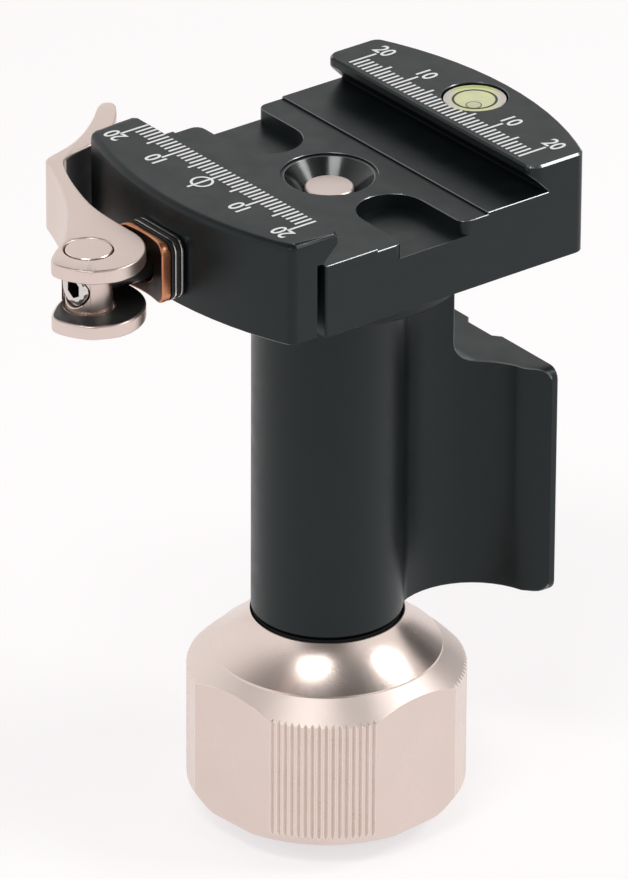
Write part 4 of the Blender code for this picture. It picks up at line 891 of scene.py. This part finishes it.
def floor_material():
    """A plain pale floor; what the camera and the gloss see of it is partly its own even white."""
    made, tree, shader = new_material("studio_floor")
    shader.inputs["Roughness"].default_value = 0.9
    shader.inputs["Specular IOR Level"].default_value = 0.0
    noise = add(tree, "ShaderNodeTexNoise", Scale=3.0, Detail=1.0)
    tree.links.new(object_coords(tree), noise.inputs["Vector"])
    colour = ramp(tree, noise.outputs["Fac"], (0.92, 0.905, 0.905), (0.94, 0.925, 0.925))
    tree.links.new(colour, shader.inputs["Base Color"])
    seen = tree.nodes.new("ShaderNodeBsdfPrincipled")
    seen.inputs["Roughness"].default_value = 0.9
    seen.inputs["Specular IOR Level"].default_value = 0.0
    seen.inputs["Base Color"].default_value = (*FLOOR_SHADE, 1.0)
    seen.inputs["Emission Color"].default_value = (*FLOOR_GLOW, 1.0)
    seen.inputs["Emission Strength"].default_value = 1.0
    path = tree.nodes.new("ShaderNodeLightPath")
    either = tree.nodes.new("ShaderNodeMath")
    either.operation = "MAXIMUM"
    tree.links.new(path.outputs["Is Camera Ray"], either.inputs[0])
    tree.links.new(path.outputs["Is Glossy Ray"], either.inputs[1])
    any_of = tree.nodes.new("ShaderNodeMath")
    any_of.operation = "MAXIMUM"
    tree.links.new(either.outputs["Value"], any_of.inputs[0])
    tree.links.new(path.outputs["Is Transmission Ray"], any_of.inputs[1])
    mix = tree.nodes.new("ShaderNodeMixShader")
    tree.links.new(any_of.outputs["Value"], mix.inputs["Fac"])
    tree.links.new(shader.outputs["BSDF"], mix.inputs[1])
    tree.links.new(seen.outputs["BSDF"], mix.inputs[2])
    tree.links.new(mix.outputs["Shader"], tree.nodes["Material Output"].inputs["Surface"])
    return made


build = bmesh.new()
bmesh.ops.create_grid(build, x_segments=1, y_segments=1, size=FLOOR_SIZE)
floor = mesh_object("studio_floor", build)
floor.location.z = -FLOOR_DROP
floor.data.materials.append(floor_material())

world = bpy.data.worlds.new("studio_world")
world.use_nodes = True
background = world.node_tree.nodes["Background"]
sky_tree = world.node_tree
sky_way = sky_tree.nodes.new("ShaderNodeTexCoord").outputs["Generated"]
sky_parts = sky_tree.nodes.new("ShaderNodeSeparateXYZ")
sky_tree.links.new(sky_way, sky_parts.inputs["Vector"])
sky = sky_tree.nodes.new("ShaderNodeValToRGB")
sky_stops = sky.color_ramp.elements
sky_stops[0].position = SKY_STOPS[0][0]
sky_stops[1].position = SKY_STOPS[-1][0]
for position, level in SKY_STOPS[1:-1]:
    sky_stops.new(position)
for stop, (position, level) in zip(sky_stops, SKY_STOPS):
    stop.color = (level, level * 0.99, level * 0.985, 1.0)
sky_tree.links.new(sky_parts.outputs["Z"], sky.inputs["Fac"])


def dark_toward(way, level, start, full):
    """1 over most of the sky, down to a level round one way; start and full are cosines."""
    facing = sky_tree.nodes.new("ShaderNodeVectorMath")
    facing.operation = "DOT_PRODUCT"
    facing.inputs[1].default_value = way
    sky_tree.links.new(sky_way, facing.inputs[0])
    return ramp(sky_tree, facing.outputs["Value"], (1.0,) * 3, (level,) * 3, start, full)


def multiplied(first, second):
    product = sky_tree.nodes.new("ShaderNodeMix")
    product.data_type = "RGBA"
    product.blend_type = "MULTIPLY"
    product.inputs[0].default_value = 1.0
    sky_tree.links.new(first, product.inputs[6])
    sky_tree.links.new(second, product.inputs[7])
    return product.outputs[2]


dimmed = multiplied(dark_toward(*DARK_SIDE), dark_toward(*DARK_BACK))
sky_tree.links.new(multiplied(sky.outputs["Color"], dimmed), background.inputs["Color"])
background.inputs["Strength"].default_value = 1.0
bpy.context.scene.world = world


def area_light(name, spot, size, power):
    """A lamp that shines on LAMP_TARGET."""
    light = bpy.data.lights.new(name, "AREA")
    light.shape = "RECTANGLE"
    light.size = size[0]
    light.size_y = size[1]
    light.energy = power
    lamp = bpy.data.objects.new(name, light)
    lamp.location = spot
    lamp.rotation_mode = "QUATERNION"
    lamp.rotation_quaternion = (Vector(LAMP_TARGET) - Vector(spot)).to_track_quat("-Z", "Y")
    bpy.context.scene.collection.objects.link(lamp)


area_light("front_high", (-0.458, -0.290, 0.900), (0.40, 0.18), 2.5)
area_light("right_high", (0.585, -0.449, 0.745), (0.36, 0.20), 2.4)

# camera
azimuth = math.radians(CAMERA_AZIMUTH)
elevation = math.radians(CAMERA_ELEVATION)
roll = math.radians(CAMERA_ROLL)
right = Vector((math.cos(azimuth), math.sin(azimuth), 0.0))
back = Vector((
    math.sin(azimuth) * math.cos(elevation),
    -math.cos(azimuth) * math.cos(elevation),
    math.sin(elevation),
))
up = back.cross(right)
camera_right = right * math.cos(roll) + up * math.sin(roll)
camera_up = up * math.cos(roll) - right * math.sin(roll)
camera_data = bpy.data.cameras.new("photo_camera")
camera_data.sensor_fit = "HORIZONTAL"
camera_data.sensor_width = SENSOR_WIDTH
camera_data.lens = FOCAL_PIXELS * SENSOR_WIDTH / PHOTO_WIDTH
camera_data.clip_start = 0.01
camera_data.clip_end = 20.0
camera = bpy.data.objects.new("photo_camera", camera_data)
axes = Matrix((camera_right, camera_up, back)).transposed().to_4x4()
camera.matrix_world = Matrix.Translation(Vector(CAMERA_TARGET) + back * CAMERA_DISTANCE) @ axes
bpy.context.scene.collection.objects.link(camera)
bpy.context.scene.camera = camera

bpy.context.scene.view_settings.view_transform = "Standard"
bpy.context.scene.view_settings.look = "None"
bpy.context.scene.view_settings.exposure = 0.0
